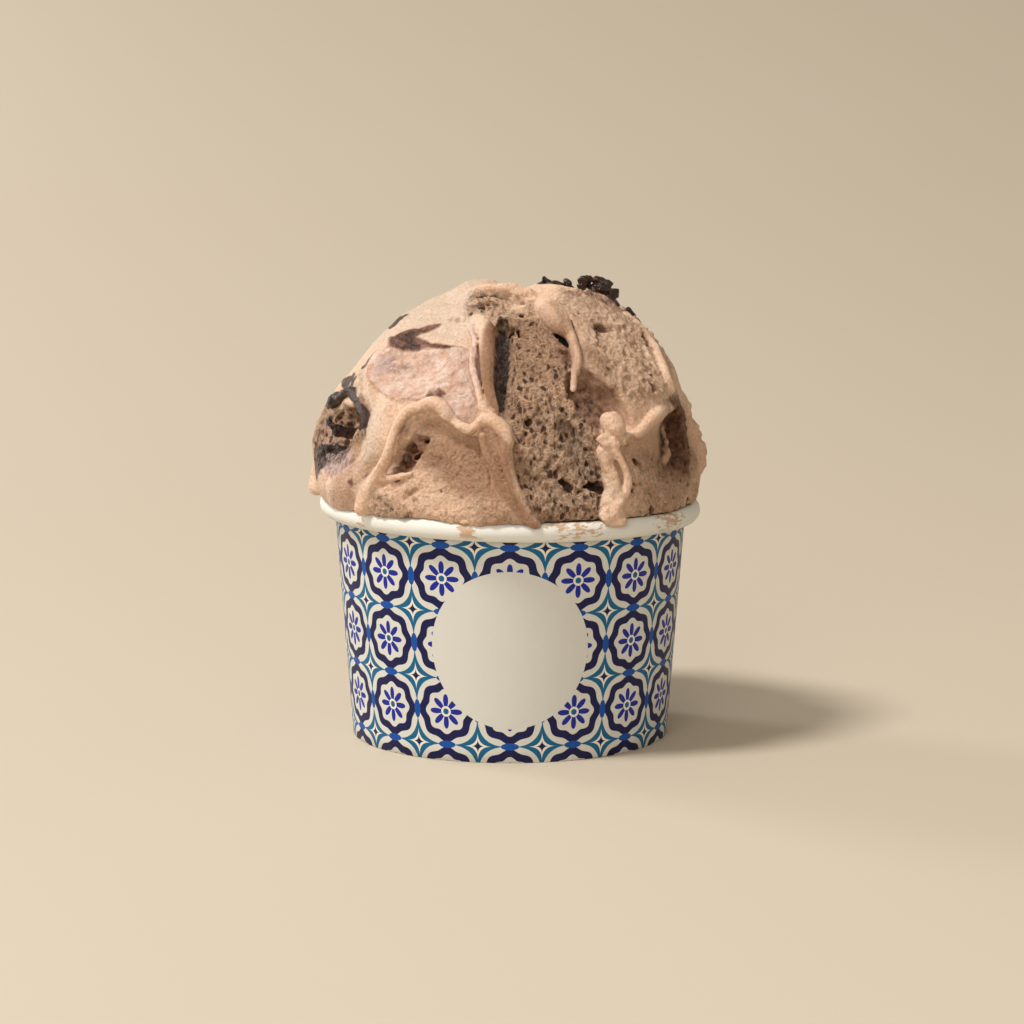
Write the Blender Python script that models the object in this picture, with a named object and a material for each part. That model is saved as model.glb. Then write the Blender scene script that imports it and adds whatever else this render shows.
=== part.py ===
"""A paper gelato cup heaped with chocolate gelato, laid on with a spatula. Metres, +Z up, front towards -Y."""

import math

import bmesh
import bpy
import numpy as np

MM = 0.001
GAP = 0.3  # air between two touching pieces

# The paper cup, in millimetres
RIM_RADIUS = 47.5  # outermost point of the rolled rim
CUP_HEIGHT = 59.8  # crest of the rolled rim
ROLL_HALF_WIDTH = 2.0
ROLL_HALF_HEIGHT = 2.4
BASE_RADIUS = 39.5
BOARD = 0.4  # thickness of the paperboard
RECESS = 6.0  # underside of the bottom disc above the table
FOLD_HEIGHT = 5.4  # the wall's lower edge, folded in and up
SIDES = 48
MOUTH_DIP = 3.1e-4  # the mouth dips to the right by this much of the height per millimetre
ROLL_RADIUS = RIM_RADIUS - ROLL_HALF_WIDTH
ROLL_Z = CUP_HEIGHT - ROLL_HALF_HEIGHT
WALL_TOP = ROLL_RADIUS - ROLL_HALF_WIDTH + BOARD

# The mound: every place on it is a turn from the front, a rise and a lift off one ball
BALL = np.array((-1.0, 0.0, 66.0))
BALL_RADIUS = 47.0
MESH_STEP = 1.0  # grain of the modelling grid
MOUND_FACES = 3750
CORE_HALVES = (44.8, 44.2, 44.6)  # the ball that the slabs are laid on
SKIRT_RADIUS = 41.2  # the roll of gelato that lies on the rim
SKIRT_HEIGHT = 62.2
SKIRT_HALF_WIDTH = 4.6
RIM_TRIM = 1.2  # how far below the crest of the rim the gelato may hang
NECK_TOP = 62.0  # the mound's own neck, inside the wall
NECK_FLOOR = 51.0  # the modelled mound ends here, inside the cup, and the plain fill goes on
FILL_TOP = 56.0
ROLL_FOOT = 44.0  # height from which room is cut for the wall and its roll
ROLL_SHOULDER = 54.0
CHOCOLATE_STEP = 0.6
CHOCOLATE_FACES = 280
SEAT_GAP = 1.5 * GAP

# Broad slabs laid on the ball: turn, rise, lift of the crown, half width, half height, half depth, blend
SLABS = {
    "top": (0, 84, 0.8, 19, 15, 12, 3),
    "upper left shoulder": (-62, 50, 0.6, 25, 22, 15, 2),
    "left back shoulder": (-110, 66, 0.4, 18, 18, 12, 3),
    "left flank": (-93, 10, 1.8, 18, 22, 16, 3),
    "left column": (-56, 20, 0.0, 10, 24, 9, 2),
    "wet slab": (-28, 33, -0.6, 20, 22, 16, 1.5),
    "upper ledge": (-14, 62, -0.2, 12, 8, 8, 1.5),
    "front left foot": (-20, -5, 0.4, 25, 11, 9, 2),
    "left foot": (-70, -4, 1.0, 19, 10, 9, 2),
    "right lobe": (66, 44, 1.8, 27, 27, 17, 2),
    "right back shoulder": (100, 66, 1.2, 16, 16, 12, 3),
    "right lobe top": (45, 62, 0.6, 13, 13, 10, 2),
    "right flank": (89, 2, 1.8, 20, 18, 14, 3),
    "front right foot": (50, -2, -0.4, 17, 12, 9, 2),
    "ledge over the cut face": (8, 67, -0.6, 18, 7, 6, 1.5),
    "back lobe": (172, 14, 2.4, 22, 24, 13, 2),
    "left back lobe": (-140, 22, 1.6, 22, 26, 14, 2),
    "right back lobe": (125, 22, 1.4, 20, 24, 13, 2),
}

# Spatula hollows: turn, rise, lift of the floor, half width, half height, half depth, roll, blend
HOLLOWS = {
    "wet patch": (-31, 37.5, -2.3, 19, 11, 9, -3, 1.2),
    "under the arch": (-19, 15.5, -6.0, 13.5, 7.5, 8.5, -4, 1.0),
    "below the arch": (-20, 6, -3.2, 15, 12, 9, 0, 2),
    "tear": (-32, 9, -4.0, 4.5, 5.5, 4, -25, 0.6),
    "left cavity": (-67, 17.0, -8.0, 9.5, 9.5, 11, -18, 0.7),
    "pocket under the curl": (27.5, 50, -6.5, 3.4, 5.5, 6, 20, 0.8),
    "leaf hollow": (30, 28.5, -7.0, 4.8, 9.0, 7, 25, 0.9),
    "leaf hollow tail": (38, 26, -5.5, 3.6, 8.0, 6, 38, 0.9),
    "right scoop": (62, 9, -3.4, 15, 13, 9, 0, 1.5),
    "right pit": (66, 15, -5.2, 7.5, 7.5, 5, 0, 1.0),
}

# Long strokes of the spatula down the sides and the back: rows of turn and rise
STROKE_RADIUS = 21.0
STROKE_DEPTH = 2.3
STROKES = {
    "right": [(84, 66), (96, 44), (102, 20), (104, -4)],
    "right back": [(112, 70), (122, 44), (128, 18), (129, -6)],
    "back": [(142, 68), (149, 42), (154, 16), (153, -6)],
    "left back": [(-170, 62), (-163, 38), (-160, 14), (-161, -6)],
    "left": [(-122, 52), (-117, 34), (-117, 14), (-121, -4)],
}

# Ridges and curled edges: rows of turn, rise, lift of the core and half width
RIDGES = {
    "arch": [(-37, 19.5, 0.4, 1.9), (-34.5, 23, 0.5, 2.4), (-30, 25, 0.6, 2.5),
             (-21.8, 25.6, 0.7, 2.9)],
    "arch saddle": [(-21.8, 25.6, 0.4, 2.4), (-17, 20.5, -0.6, 1.6), (-10, 19.6, -0.4, 1.5),
                    (-4, 21.5, 0.6, 2.6)],
    "left leg": [(-37, 19.5, 0.4, 1.9), (-37, 11, 0.6, 1.4), (-41, 4.5, 0.9, 1.7), (-45, -3.5, 1, 2.6),
                 (-45.5, -10, 1.2, 2.4)],
    "lip in the tear": [(-39, 4.5, 0.2, 1.4), (-34, 4, -1.0, 1.2), (-29, 6, -2.2, 1.0)],
    "upright ridge": [(-20, 60, -1.6, 2.6), (-10, 51, -0.4, 2.8), (-7.5, 40, 0, 2.7), (-7, 29, 0.2, 2.7)],
    "right leg": [(-7, 29, 0.2, 2.7), (-3, 20, 0.6, 3.6), (-0.5, 8, -0.2, 3.5), (3.5, -3, 0, 3.4),
                  (7, -10, 0.7, 3.4), (9.3, -13.3, 1.2, 2.4)],
    "right leg's bank": [(-14, 30, -4.8, 5), (-10, 18, -4.6, 5.5), (-7, 6, -4.6, 6), (-4, -4, -4.2, 6)],
    "left leg's bank": [(-47, 28, -5.5, 6), (-43, 14, -5.4, 6), (-47, 2, -5, 6)],
    "front hem": [(-14, -7, -2.6, 2.6), (-5, -10.5, -0.4, 2.8), (4, -12, 0.5, 2.7)],
    "top curl": [(22, 66.5, -0.6, 2.6), (28, 64.5, 0, 3.0), (35, 57, 0.6, 2.8), (33.5, 48, 0.2, 2.0),
                 (29, 38.5, -0.6, 1.3), (27, 34, -1.2, 1.0)],
    "knob": [(34.5, 22.4, -0.2, 3.3), (35, 20.5, -0.2, 3.3), (35.5, 14, -0.8, 2.8)],
    "knob's tail": [(35.5, 14, -0.8, 2.6), (36.5, 6, -0.5, 2.2), (36.5, -3, 0, 3.5), (35.5, -7, 0.2, 4.0),
                    (37, -12.5, 1.0, 2.6)],
    "fin": [(39.5, 16, -0.6, 1.3), (38, 9, 0.6, 1.3), (40, 3, 0.6, 1.4), (40, -1, 0.4, 1.6)],
    "right lip": [(43, 17, -0.8, 1.8), (52, 21, 0.4, 3.0), (63, 25.5, 0.2, 2.0), (84, 27, 0.6, 2.2)],
    "right edge": [(84, 28, 0.4, 1.8), (86, 20, 0, 2.6), (84, 16, -1, 2.0)],
    "right lumps": [(86, 14, 0, 2.8), (88, 7, 0.4, 2.8), (84, -2, -0.6, 2.4)],
    "right flap": [(96, 48, 0.8, 1.3), (84, 35, 1.0, 1.4), (82, 29, 1.0, 1.6)],
    "far left drip": [(-97, 0, -0.4, 2.6), (-97, -8, 0.2, 2.7), (-96, -12, 0.4, 2.2)],
    "low top fold": [(-30, 62, -2.2, 1.8), (-8, 67.5, -1.6, 1.5), (14, 66, -1.2, 1.6)],
    "high top fold": [(-60, 74, 0.2, 1.8), (-20, 77.5, 0.5, 1.8), (30, 76, -0.4, 1.8)],
    "right back curl": [(108, 52, -0.6, 1.2), (114, 40, 0.2, 1.8), (117, 26, 0.4, 2.2),
                        (118, 14, -0.4, 1.6)],
    "back curl": [(166, 40, -0.8, 1.4), (172, 26, 0.6, 2.3), (177, 8, 0.6, 2.8), (177, -6, 0.6, 3.0),
                  (178, -12.5, 1.0, 2.2)],
    "left back curl": [(-146, 58, -0.8, 1.4), (-142, 48, 0.2, 2.2), (-137, 41, 0.2, 2.6),
                       (-130, 38, 0, 2.0)],
    "left curl": [(-138, 30, -0.8, 1.4), (-137, 20, 0.2, 2.0), (-138, 8, 0.4, 2.4), (-140, -3, 0.2, 2.6)],
}

# Furrows drawn by the spatula's edge, in the same terms
FURROWS = {
    "beside the upright ridge": [(-1, 59, -3, 1.8), (-1.5, 44, -3, 2.3), (0.5, 26, -2.6, 2.0)],
    "slanted band": [(20, 21, -2, 2.4), (24.5, 13, -0.8, 3.2), (32, -1, 0.6, 3.0)],
    "crack": [(42, 49, 1.6, 0.9), (49, 53.5, 1.2, 1.2), (59, 50, 1.8, 0.9)],
    "hole by the right lip": [(76, 27, -0.5, 1.1), (77, 23.5, -0.8, 1.2)],
}

# Chocolate: rows of turn, rise, lift and half width along each piece
SMOOTH_CHOCOLATE = "chocolate_ripple_left"
CHOCOLATE = {
    "chocolate_clump_top": [(97, 65.5, 0.8, 2.5), (96, 60.5, 1.2, 3.0), (95, 54, 1.0, 2.7),
                            (94, 48, 0.2, 1.8)],
    "chocolate_shard_crest": [(118, 80.5, 0.7, 1.1), (108, 76.5, 0.8, 1.5), (104, 73.5, 0.8, 1.2)],
    "chocolate_ripple_left": [(-87, 11, -1.0, 2.2), (-81, 18, -1.2, 3.0), (-72, 25, -1.6, 2.8),
                              (-62, 27, -2.0, 2.6), (-54, 20, -2.2, 2.8), (-50.5, 12.5, -2.8, 2.0)],
}


def place(turn, rise, lift=0.0):
    """The point at a turn, a rise and a lift off the ball."""
    turn, rise = math.radians(turn), math.radians(rise)
    way = np.array((math.sin(turn) * math.cos(rise), -math.cos(turn) * math.cos(rise), math.sin(rise)))
    return BALL + (BALL_RADIUS + lift) * way


def smooth_path(rows, steps=4):
    """A curve through the rows, with the radius carried along."""
    rows = np.array(rows, float)
    ends = np.vstack([2 * rows[0] - rows[1], rows, 2 * rows[-1] - rows[-2]])
    made = []
    for a, b, c, d in zip(ends, ends[1:], ends[2:], ends[3:]):
        for t in np.arange(steps) / steps:
            slope = (c - a) * t + (2 * a - 5 * b + 4 * c - d) * t**2 + (3 * b - a - 3 * c + d) * t**3
            made.append(b + slope / 2)
    return np.array([*made, rows[-1]])


class Block:
    """A block of space on a grid, holding at each point the distance to what has been modelled in it."""

    def __init__(self, low, high, step, sway=0.0):
        self.low, self.step = np.array(low, float), step
        self.axes = [np.arange(a, b + step, step) for a, b in zip(low, high)]
        self.distance = np.full([len(a) for a in self.axes], 1e3)
        self.shift = self.unevenness(sway)

    def unevenness(self, height, length=16.0, waves=7, seed=4):
        """A smooth wander of the whole form, so that no slab is a true ellipsoid."""
        random = np.random.default_rng(seed)
        way = random.normal(size=(3, waves, 3))
        way /= np.linalg.norm(way, axis=2, keepdims=True)
        way *= 2 * math.pi / (length * random.uniform(0.7, 1.5, (3, waves, 1)))
        phase = random.uniform(0, 2 * math.pi, (3, waves))
        x, y, z = np.ix_(*self.axes)
        made = []
        for ways, phases in zip(way, phase):
            total = sum(np.sin(w[0] * x + w[1] * y + w[2] * z + p) for w, p in zip(ways, phases))
            made.append(total * height / math.sqrt(waves))
        return made

    def around(self, low, high):
        """The part of the grid between two corners, and its coordinates."""
        cut = []
        for axis, a, b in zip(self.axes, low, high):
            first = min(int(np.searchsorted(axis, a)), len(axis) - 1)
            cut.append(slice(first, max(first + 1, int(np.searchsorted(axis, b)))))
        cut = tuple(cut)
        sides = np.ix_(*(axis[part] for axis, part in zip(self.axes, cut)))
        return cut, [side + shift[cut] for side, shift in zip(sides, self.shift)]

    def add(self, cut, distance, blend=0.0):
        old = self.distance[cut]
        if blend <= 0:
            self.distance[cut] = np.minimum(old, distance)
            return
        share = np.clip(0.5 + 0.5 * (old - distance) / blend, 0, 1)
        self.distance[cut] = old * (1 - share) + distance * share - blend * share * (1 - share)

    def remove(self, cut, distance, blend):
        old = self.distance[cut]
        share = np.clip(0.5 + 0.5 * (old + distance) / blend, 0, 1)
        self.distance[cut] = old * share - distance * (1 - share) + blend * share * (1 - share)

    def slab(self, turn, rise, lift, half_width, half_height, half_depth, roll=0.0):
        """Distance to an ellipsoid that faces outwards at a place on the ball."""
        centre = place(turn, rise, lift)
        reach = max(half_width, half_height, half_depth) + 6
        cut, where = self.around(centre - reach, centre + reach)
        t, r, a = math.radians(turn), math.radians(rise), math.radians(roll)
        outward = np.array((math.sin(t) * math.cos(r), -math.cos(t) * math.cos(r), math.sin(r)))
        level = np.array((math.cos(t), math.sin(t), 0.0))
        upward = np.cross(level, -outward)
        across = math.cos(a) * level + math.sin(a) * upward
        along = math.cos(a) * upward - math.sin(a) * level
        near = far = 0
        for way, half in ((across, half_width), (outward, half_depth), (along, half_height)):
            run = sum(w * (side - c) for w, side, c in zip(way, where, centre))
            near = near + (run / half) ** 2
            far = far + (run / half**2) ** 2
        near = np.sqrt(near)
        return cut, near * (near - 1) / np.maximum(np.sqrt(far), 1e-6)

    def shard(self, centre, half, ways):
        """Distance to a box with slightly rounded edges, turned any way."""
        across, _ = np.linalg.qr(ways)
        reach = 2 * max(half)
        cut, where = self.around(centre - reach, centre + reach)
        over = [np.abs(sum(w * (side - c) for w, side, c in zip(way, where, centre))) - h
                for way, h in zip(across, half)]
        outside = np.sqrt(sum(np.maximum(run, 0) ** 2 for run in over))
        return cut, outside + np.minimum(np.maximum.reduce(over), 0) - 0.25

    def ridge(self, rows):
        """Distance to a round ridge along a path given in x, y, z and radius."""
        path = smooth_path(rows)
        reach = path[:, 3].max() + 5
        cut, where = self.around(path[:, :3].min(0) - reach, path[:, :3].max(0) + reach)
        best = 1e3
        for start, end in zip(path, path[1:]):
            step = end - start
            size = max(float(step[:3] @ step[:3]), 1e-9)
            t = sum((side - s) * w for side, s, w in zip(where, start, step)) / size
            t = np.clip(t, 0, 1)
            gap = sum((side - s - t * w) ** 2 for side, s, w in zip(where, start, step))
            best = np.minimum(best, np.sqrt(gap) - (start[3] + t * step[3]))
        return cut, best

    def close_pinches(self):
        """Fills in where two corners of the form would meet only along a line."""
        for _ in range(9):
            inside = self.distance < 0
            pinched = np.zeros_like(inside)
            for u, v in ((0, 1), (1, 2), (0, 2)):
                square = []
                for i, j in ((0, 0), (1, 0), (0, 1), (1, 1)):
                    part = [slice(None)] * 3
                    part[u], part[v] = slice(i, i - 1 or None), slice(j, j - 1 or None)
                    square.append(tuple(part))
                a, b, c, d = (inside[part] for part in square)
                crossed = (a == d) & (b == c) & (a != b)
                for part in square:
                    pinched[part] |= crossed
            pinched &= ~inside
            if not pinched.any():
                return
            self.distance[pinched] = -self.step / 4

    def surface(self):
        """Points and four-sided faces of the surface, one point in each grid cell it runs through."""
        self.close_pinches()
        inside = self.distance < 0
        size = np.array(inside.shape)
        corners = [(i, j, k) for i in (0, 1) for j in (0, 1) for k in (0, 1)]
        count = sum(inside[i:size[0] - 1 + i, j:size[1] - 1 + j, k:size[2] - 1 + k].astype(int)
                    for i, j, k in corners)
        live = (count > 0) & (count < 8)
        cells = np.argwhere(live)
        number = np.full(size - 1, -1)
        number[live] = np.arange(len(cells))
        value = np.stack([self.distance[tuple((cells + c).T)] for c in corners], 1)
        total, hits = np.zeros((len(cells), 3)), np.zeros((len(cells), 1))
        for a, first in enumerate(corners):
            for b, second in enumerate(corners):
                side = np.subtract(second, first)
                if b < a or np.abs(side).sum() != 1:
                    continue
                cross = (value[:, a] < 0) != (value[:, b] < 0)
                share = value[cross, a] / (value[cross, a] - value[cross, b])
                total[cross] += first + share[:, None] * side
                hits[cross] += 1
        points = self.low + self.step * (cells + total / hits)
        faces = []
        for axis in range(3):
            here = [slice(1, -1)] * 3
            there = list(here)
            here[axis], there[axis] = slice(0, -1), slice(1, None)
            first, second = inside[tuple(here)], inside[tuple(there)]
            edges = np.argwhere(first != second)
            outward = first[tuple(edges.T)]
            edges += 1
            edges[:, axis] -= 1
            u, v = np.eye(3, dtype=int)[(axis + 1) % 3], np.eye(3, dtype=int)[(axis + 2) % 3]
            ring = np.stack([number[tuple((edges - s).T)] for s in (0 * u, u, u + v, v)], 1)
            ring[~outward] = ring[~outward][:, ::-1]
            faces.append(ring)
        return points, np.vstack(faces)


def wall_radius(z):
    """Outer radius of the cup's wall at a height."""
    return BASE_RADIUS + (WALL_TOP - BASE_RADIUS) * z / ROLL_Z


def model_mound():
    """The heaped gelato, down to just inside the cup."""
    block = Block((-54, -54, 48), (54, 54, 119), MESH_STEP, sway=0.35)
    across, along, deep = CORE_HALVES
    block.add(*block.slab(0, 90, -BALL_RADIUS, across, along, deep))
    for turn, rise, lift, half_width, half_height, half_depth, blend in SLABS.values():
        slab = block.slab(turn, rise, lift - half_depth, half_width, half_height, half_depth)
        block.add(*slab, blend)
    turns = np.linspace(0, 2 * math.pi, 25)
    skirt = [(SKIRT_RADIUS * math.sin(a), SKIRT_RADIUS * math.cos(a), SKIRT_HEIGHT, SKIRT_HALF_WIDTH)
             for a in turns]
    block.add(*block.ridge(skirt), 3)
    everything = tuple(slice(None) for _ in range(3))
    _, (x, y, z) = block.around([axis[0] for axis in block.axes], [axis[-1] + 1 for axis in block.axes])
    out = np.sqrt(x**2 + y**2)
    below_the_rim = np.maximum(z - CUP_HEIGHT + RIM_TRIM, WALL_TOP - 2 - out)
    block.remove(everything, below_the_rim, 2)
    inner = wall_radius(z) - 2 * BOARD - GAP
    block.add(everything, np.maximum(out - inner, z - NECK_TOP), 1)
    block.remove(everything, z - NECK_FLOOR, 0.5)
    for turn, rise, lift, half_width, half_height, half_depth, roll, blend in HOLLOWS.values():
        hollow = block.slab(turn, rise, lift + half_depth, half_width, half_height, half_depth, roll)
        block.remove(*hollow, blend)
    for rows in STROKES.values():
        path = [(*place(*row, STROKE_RADIUS - STROKE_DEPTH), STROKE_RADIUS) for row in rows]
        block.remove(*block.ridge(path), 1.2)
    for rows in FURROWS.values():
        block.remove(*block.ridge([(*place(*row[:3]), row[3]) for row in rows]), 1)
    for rows in RIDGES.values():
        block.add(*block.ridge([(*place(*row[:3]), row[3]) for row in rows]), 0.9)
    return block.surface()


def model_chocolate(rows, seed, broken=True):
    """Chocolate along a path: a smooth band, or a clump of blocky shards turned every way."""
    path = smooth_path([(*place(*row[:3]), row[3]) for row in rows], 2)
    reach = path[:, 3].max() * 1.8 + 2
    block = Block(path[:, :3].min(0) - reach, path[:, :3].max(0) + reach, CHOCOLATE_STEP)
    block.add(*block.ridge(path * (1, 1, 1, 0.75) if broken else path))
    if not broken:
        return block.surface()
    random = np.random.default_rng(seed)
    for x, y, z, radius in path:
        centre = (x, y, z) + random.normal(0, 0.25, 3) * radius
        half = radius * random.uniform((0.8, 0.6, 0.5), (1.25, 0.95, 0.8))
        block.add(*block.shard(centre, half, random.normal(size=(3, 3))), 0.3)
    return block.surface()


def dip(points):
    """Tips the mouth of the cup a little to the right."""
    points = np.array(points, float)
    points[:, 2] *= 1 - MOUTH_DIP * points[:, 0]
    return points


def make_object(name, points, faces):
    """An object from points in millimetres."""
    mesh = bpy.data.meshes.new(name)
    mesh.from_pydata((dip(points) * MM).tolist(), [], [list(map(int, face)) for face in faces])
    mesh.update()
    made = bpy.data.objects.new(name, mesh)
    bpy.context.scene.collection.objects.link(made)
    return made


def turned(name, profile):
    """A closed ring, or a solid where the profile starts and ends on the axis."""
    on_axis = profile[0][0] == 0
    rings = profile[1:-1] if on_axis else profile
    turns = [2 * math.pi * i / SIDES for i in range(SIDES)]
    points = [(r * math.cos(a), r * math.sin(a), z) for r, z in rings for a in turns]
    faces = []
    pairs = len(rings) - 1 if on_axis else len(rings)
    for ring in range(pairs):
        a, b = ring * SIDES, (ring + 1) % len(rings) * SIDES
        faces += [(a + i, a + (i + 1) % SIDES, b + (i + 1) % SIDES, b + i) for i in range(SIDES)]
    if on_axis:
        last = (len(rings) - 1) * SIDES
        start, end = len(points), len(points) + 1
        points += [(0, 0, profile[0][1]), (0, 0, profile[-1][1])]
        faces += [(start, (i + 1) % SIDES, i) for i in range(SIDES)]
        faces += [(end, last + i, last + (i + 1) % SIDES) for i in range(SIDES)]
    made = make_object(name, points, faces)
    smooth(made)
    return made


def smooth(thing):
    for face in thing.data.polygons:
        face.use_smooth = True


def on_roll(degrees, inset=0.0):
    """A point of the rolled rim's section, or of one inset from it."""
    a = math.radians(degrees)
    width, height = ROLL_HALF_WIDTH - inset, ROLL_HALF_HEIGHT - inset
    return ROLL_RADIUS + width * math.cos(a), ROLL_Z + height * math.sin(a)


def wall_profile():
    """Up the outer face, round inside the open roll, back over it and down the inner face to the fold."""
    slot = BOARD + 2 * GAP + BOARD  # the wall, then the room for the disc's own edge
    fold = slot + BOARD
    outer = [(wall_radius(0) - 0.2, 0.0), (wall_radius(0.2), 0.2)]
    inside_roll = [on_roll(a, BOARD) for a in range(180, -150, -30)]
    over_roll = [on_roll(a) for a in range(-120, 210, 30)]
    inner = [(wall_radius(BOARD) - BOARD, BOARD)]
    folded = [(wall_radius(BOARD) - slot, BOARD), (wall_radius(FOLD_HEIGHT) - slot, FOLD_HEIGHT),
              (wall_radius(FOLD_HEIGHT) - fold, FOLD_HEIGHT), (wall_radius(0) - fold, 0.0)]
    return outer + inside_roll + over_roll + inner + folded


def bottom_profile():
    """A disc with its edge turned down into the slot of the wall's fold."""
    outside, inside = BOARD + GAP, 2 * BOARD + GAP
    foot, top = BOARD + GAP, RECESS + BOARD
    return [(0, RECESS), (wall_radius(RECESS) - inside, RECESS), (wall_radius(foot) - inside, foot),
            (wall_radius(foot) - outside, foot), (wall_radius(top) - outside, top), (0, top)]


def fill_profile():
    """Gelato inside the cup, from the bottom disc up into the mound."""
    inset = BOARD + GAP + 0.05
    low, top = RECESS + BOARD + GAP, FILL_TOP
    return [(0, low), (wall_radius(low) - inset, low), (wall_radius(top) - inset, top), (0, top)]


def rim_cutter_profile():
    """The wall's top and its roll, grown by the gap."""
    inner = [(wall_radius(ROLL_FOOT) - BOARD - GAP, ROLL_FOOT), (wall_radius(ROLL_FOOT) + GAP, ROLL_FOOT)]
    outer = [(wall_radius(ROLL_SHOULDER) + GAP, ROLL_SHOULDER)]
    return inner + outer + [on_roll(a, -GAP) for a in range(-120, 210, 30)]


def cutter(thing):
    thing.hide_render = True
    thing.display_type = "WIRE"
    return thing


def apply_modifiers(thing):
    """Swaps the object's mesh for the one its modifiers make."""
    graph = bpy.context.evaluated_depsgraph_get()
    made = bpy.data.meshes.new_from_object(thing.evaluated_get(graph))
    thing.modifiers.clear()
    thing.data = made


def thin(thing, faces):
    """Fewer triangles, kept where the form turns most."""
    triangles = sum(len(face.vertices) - 2 for face in thing.data.polygons)
    modifier = thing.modifiers.new("fewer faces", "DECIMATE")
    modifier.ratio = faces / triangles
    modifier.use_collapse_triangulate = True
    apply_modifiers(thing)


def grown(thing, name, by):
    """A copy pushed out along its normals, to cut room for the original."""
    mesh = thing.data.copy()
    for vertex, normal in zip(mesh.vertices, [v.normal.copy() for v in thing.data.vertices]):
        vertex.co += normal * by * MM
    made = bpy.data.objects.new(name, mesh)
    bpy.context.scene.collection.objects.link(made)
    return cutter(made)


def boolean(thing, other, operation):
    modifier = thing.modifiers.new(other.name, "BOOLEAN")
    modifier.operation = operation
    modifier.solver = "EXACT"
    modifier.object = other
    apply_modifiers(thing)


def keep_largest_piece(thing):
    """Drops the crumbs that a cut leaves."""
    work = bmesh.new()
    work.from_mesh(thing.data)
    left, pieces = set(work.verts), []
    while left:
        piece, edge = set(), [left.pop()]
        while edge:
            vertex = edge.pop()
            piece.add(vertex)
            near = {e.other_vert(vertex) for e in vertex.link_edges} & left
            left -= near
            edge += near
        pieces.append(piece)
    pieces.sort(key=len)
    for piece in pieces[:-1]:
        bmesh.ops.delete(work, geom=list(piece), context="VERTS")
    work.to_mesh(thing.data)
    work.free()


def principled(name, colour, roughness):
    material = bpy.data.materials.new(name)
    material.use_nodes = True
    shader = material.node_tree.nodes["Principled BSDF"]
    shader.inputs["Base Color"].default_value = (*colour, 1)
    shader.inputs["Roughness"].default_value = roughness
    shader.inputs["Metallic"].default_value = 0
    return material


def finish(thing, colour, roughness):
    smooth(thing)
    thing.data.materials.clear()
    thing.data.materials.append(principled(thing.name, colour, roughness))


def main():
    for thing in list(bpy.data.objects):
        bpy.data.objects.remove(thing)
    wall = turned("cup_wall", wall_profile())
    bottom = turned("cup_bottom", bottom_profile())
    pieces = []
    for seed, (name, rows) in enumerate(CHOCOLATE.items()):
        piece = make_object(name, *model_chocolate(rows, seed, name != SMOOTH_CHOCOLATE))
        thin(piece, CHOCOLATE_FACES)
        pieces.append(piece)
    gelato = make_object("gelato", *model_mound())
    thin(gelato, MOUND_FACES)
    boolean(gelato, cutter(turned("fill", fill_profile())), "UNION")
    boolean(gelato, cutter(turned("rim_cutter", rim_cutter_profile())), "DIFFERENCE")
    for piece in pieces:
        boolean(gelato, grown(piece, piece.name + "_seat", SEAT_GAP), "DIFFERENCE")
    keep_largest_piece(gelato)
    finish(wall, (0.60, 0.58, 0.55), 0.55)
    finish(bottom, (0.66, 0.62, 0.56), 0.6)
    finish(gelato, (0.42, 0.25, 0.16), 0.45)
    for piece in pieces:
        finish(piece, (0.045, 0.02, 0.012), 0.3)


main()
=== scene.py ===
"""A paper gelato cup heaped with chocolate gelato. Metres, +Z up, front towards -Y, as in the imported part."""

import math

import bmesh
import bpy
import numpy as np
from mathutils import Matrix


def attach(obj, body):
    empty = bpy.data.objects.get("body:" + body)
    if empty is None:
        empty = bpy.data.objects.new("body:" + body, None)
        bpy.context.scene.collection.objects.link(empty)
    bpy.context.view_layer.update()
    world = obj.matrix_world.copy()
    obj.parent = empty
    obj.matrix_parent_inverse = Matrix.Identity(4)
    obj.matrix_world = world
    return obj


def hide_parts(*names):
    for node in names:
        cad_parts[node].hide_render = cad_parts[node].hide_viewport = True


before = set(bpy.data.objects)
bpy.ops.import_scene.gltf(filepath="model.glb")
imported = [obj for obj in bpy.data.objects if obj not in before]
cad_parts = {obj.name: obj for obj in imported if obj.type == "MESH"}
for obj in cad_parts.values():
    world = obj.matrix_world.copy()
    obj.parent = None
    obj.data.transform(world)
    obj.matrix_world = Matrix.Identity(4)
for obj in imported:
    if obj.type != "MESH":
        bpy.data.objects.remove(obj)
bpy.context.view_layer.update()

MM = 0.001

# The cup, in millimetres
CUP_HEIGHT = 59.8
ROLL_HALF_WIDTH = 2.0
ROLL_HALF_HEIGHT = 2.4
BASE_RADIUS = 39.5
BOARD = 0.4
RECESS = 6.0
FOLD_HEIGHT = 5.4
GAP = 0.3
CUP_SIDES = 256
MOUTH_DIP = 3.1e-4
ROLL_RADIUS = 45.5
ROLL_Z = CUP_HEIGHT - ROLL_HALF_HEIGHT
WALL_TOP = ROLL_RADIUS - ROLL_HALF_WIDTH + BOARD

# The heap: every place on it is a turn from the front, a rise and a lift off one ball
BALL = np.array((-1.0, 0.0, 66.0))
BALL_RADIUS = 47.0
GRAIN = 0.45  # spacing of the modelling grid
HEAP_LOW = (-54.0, -54.0, 50.0)
HEAP_HIGH = (54.0, 54.0, 119.0)
NECK_TOP = 62.0
NECK_FLOOR = 52.0
SKIRT_RADIUS = 41.2
SKIRT_HEIGHT = 62.2
SKIRT_HALF_WIDTH = 4.6
RIM_TRIM = 1.2

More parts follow.
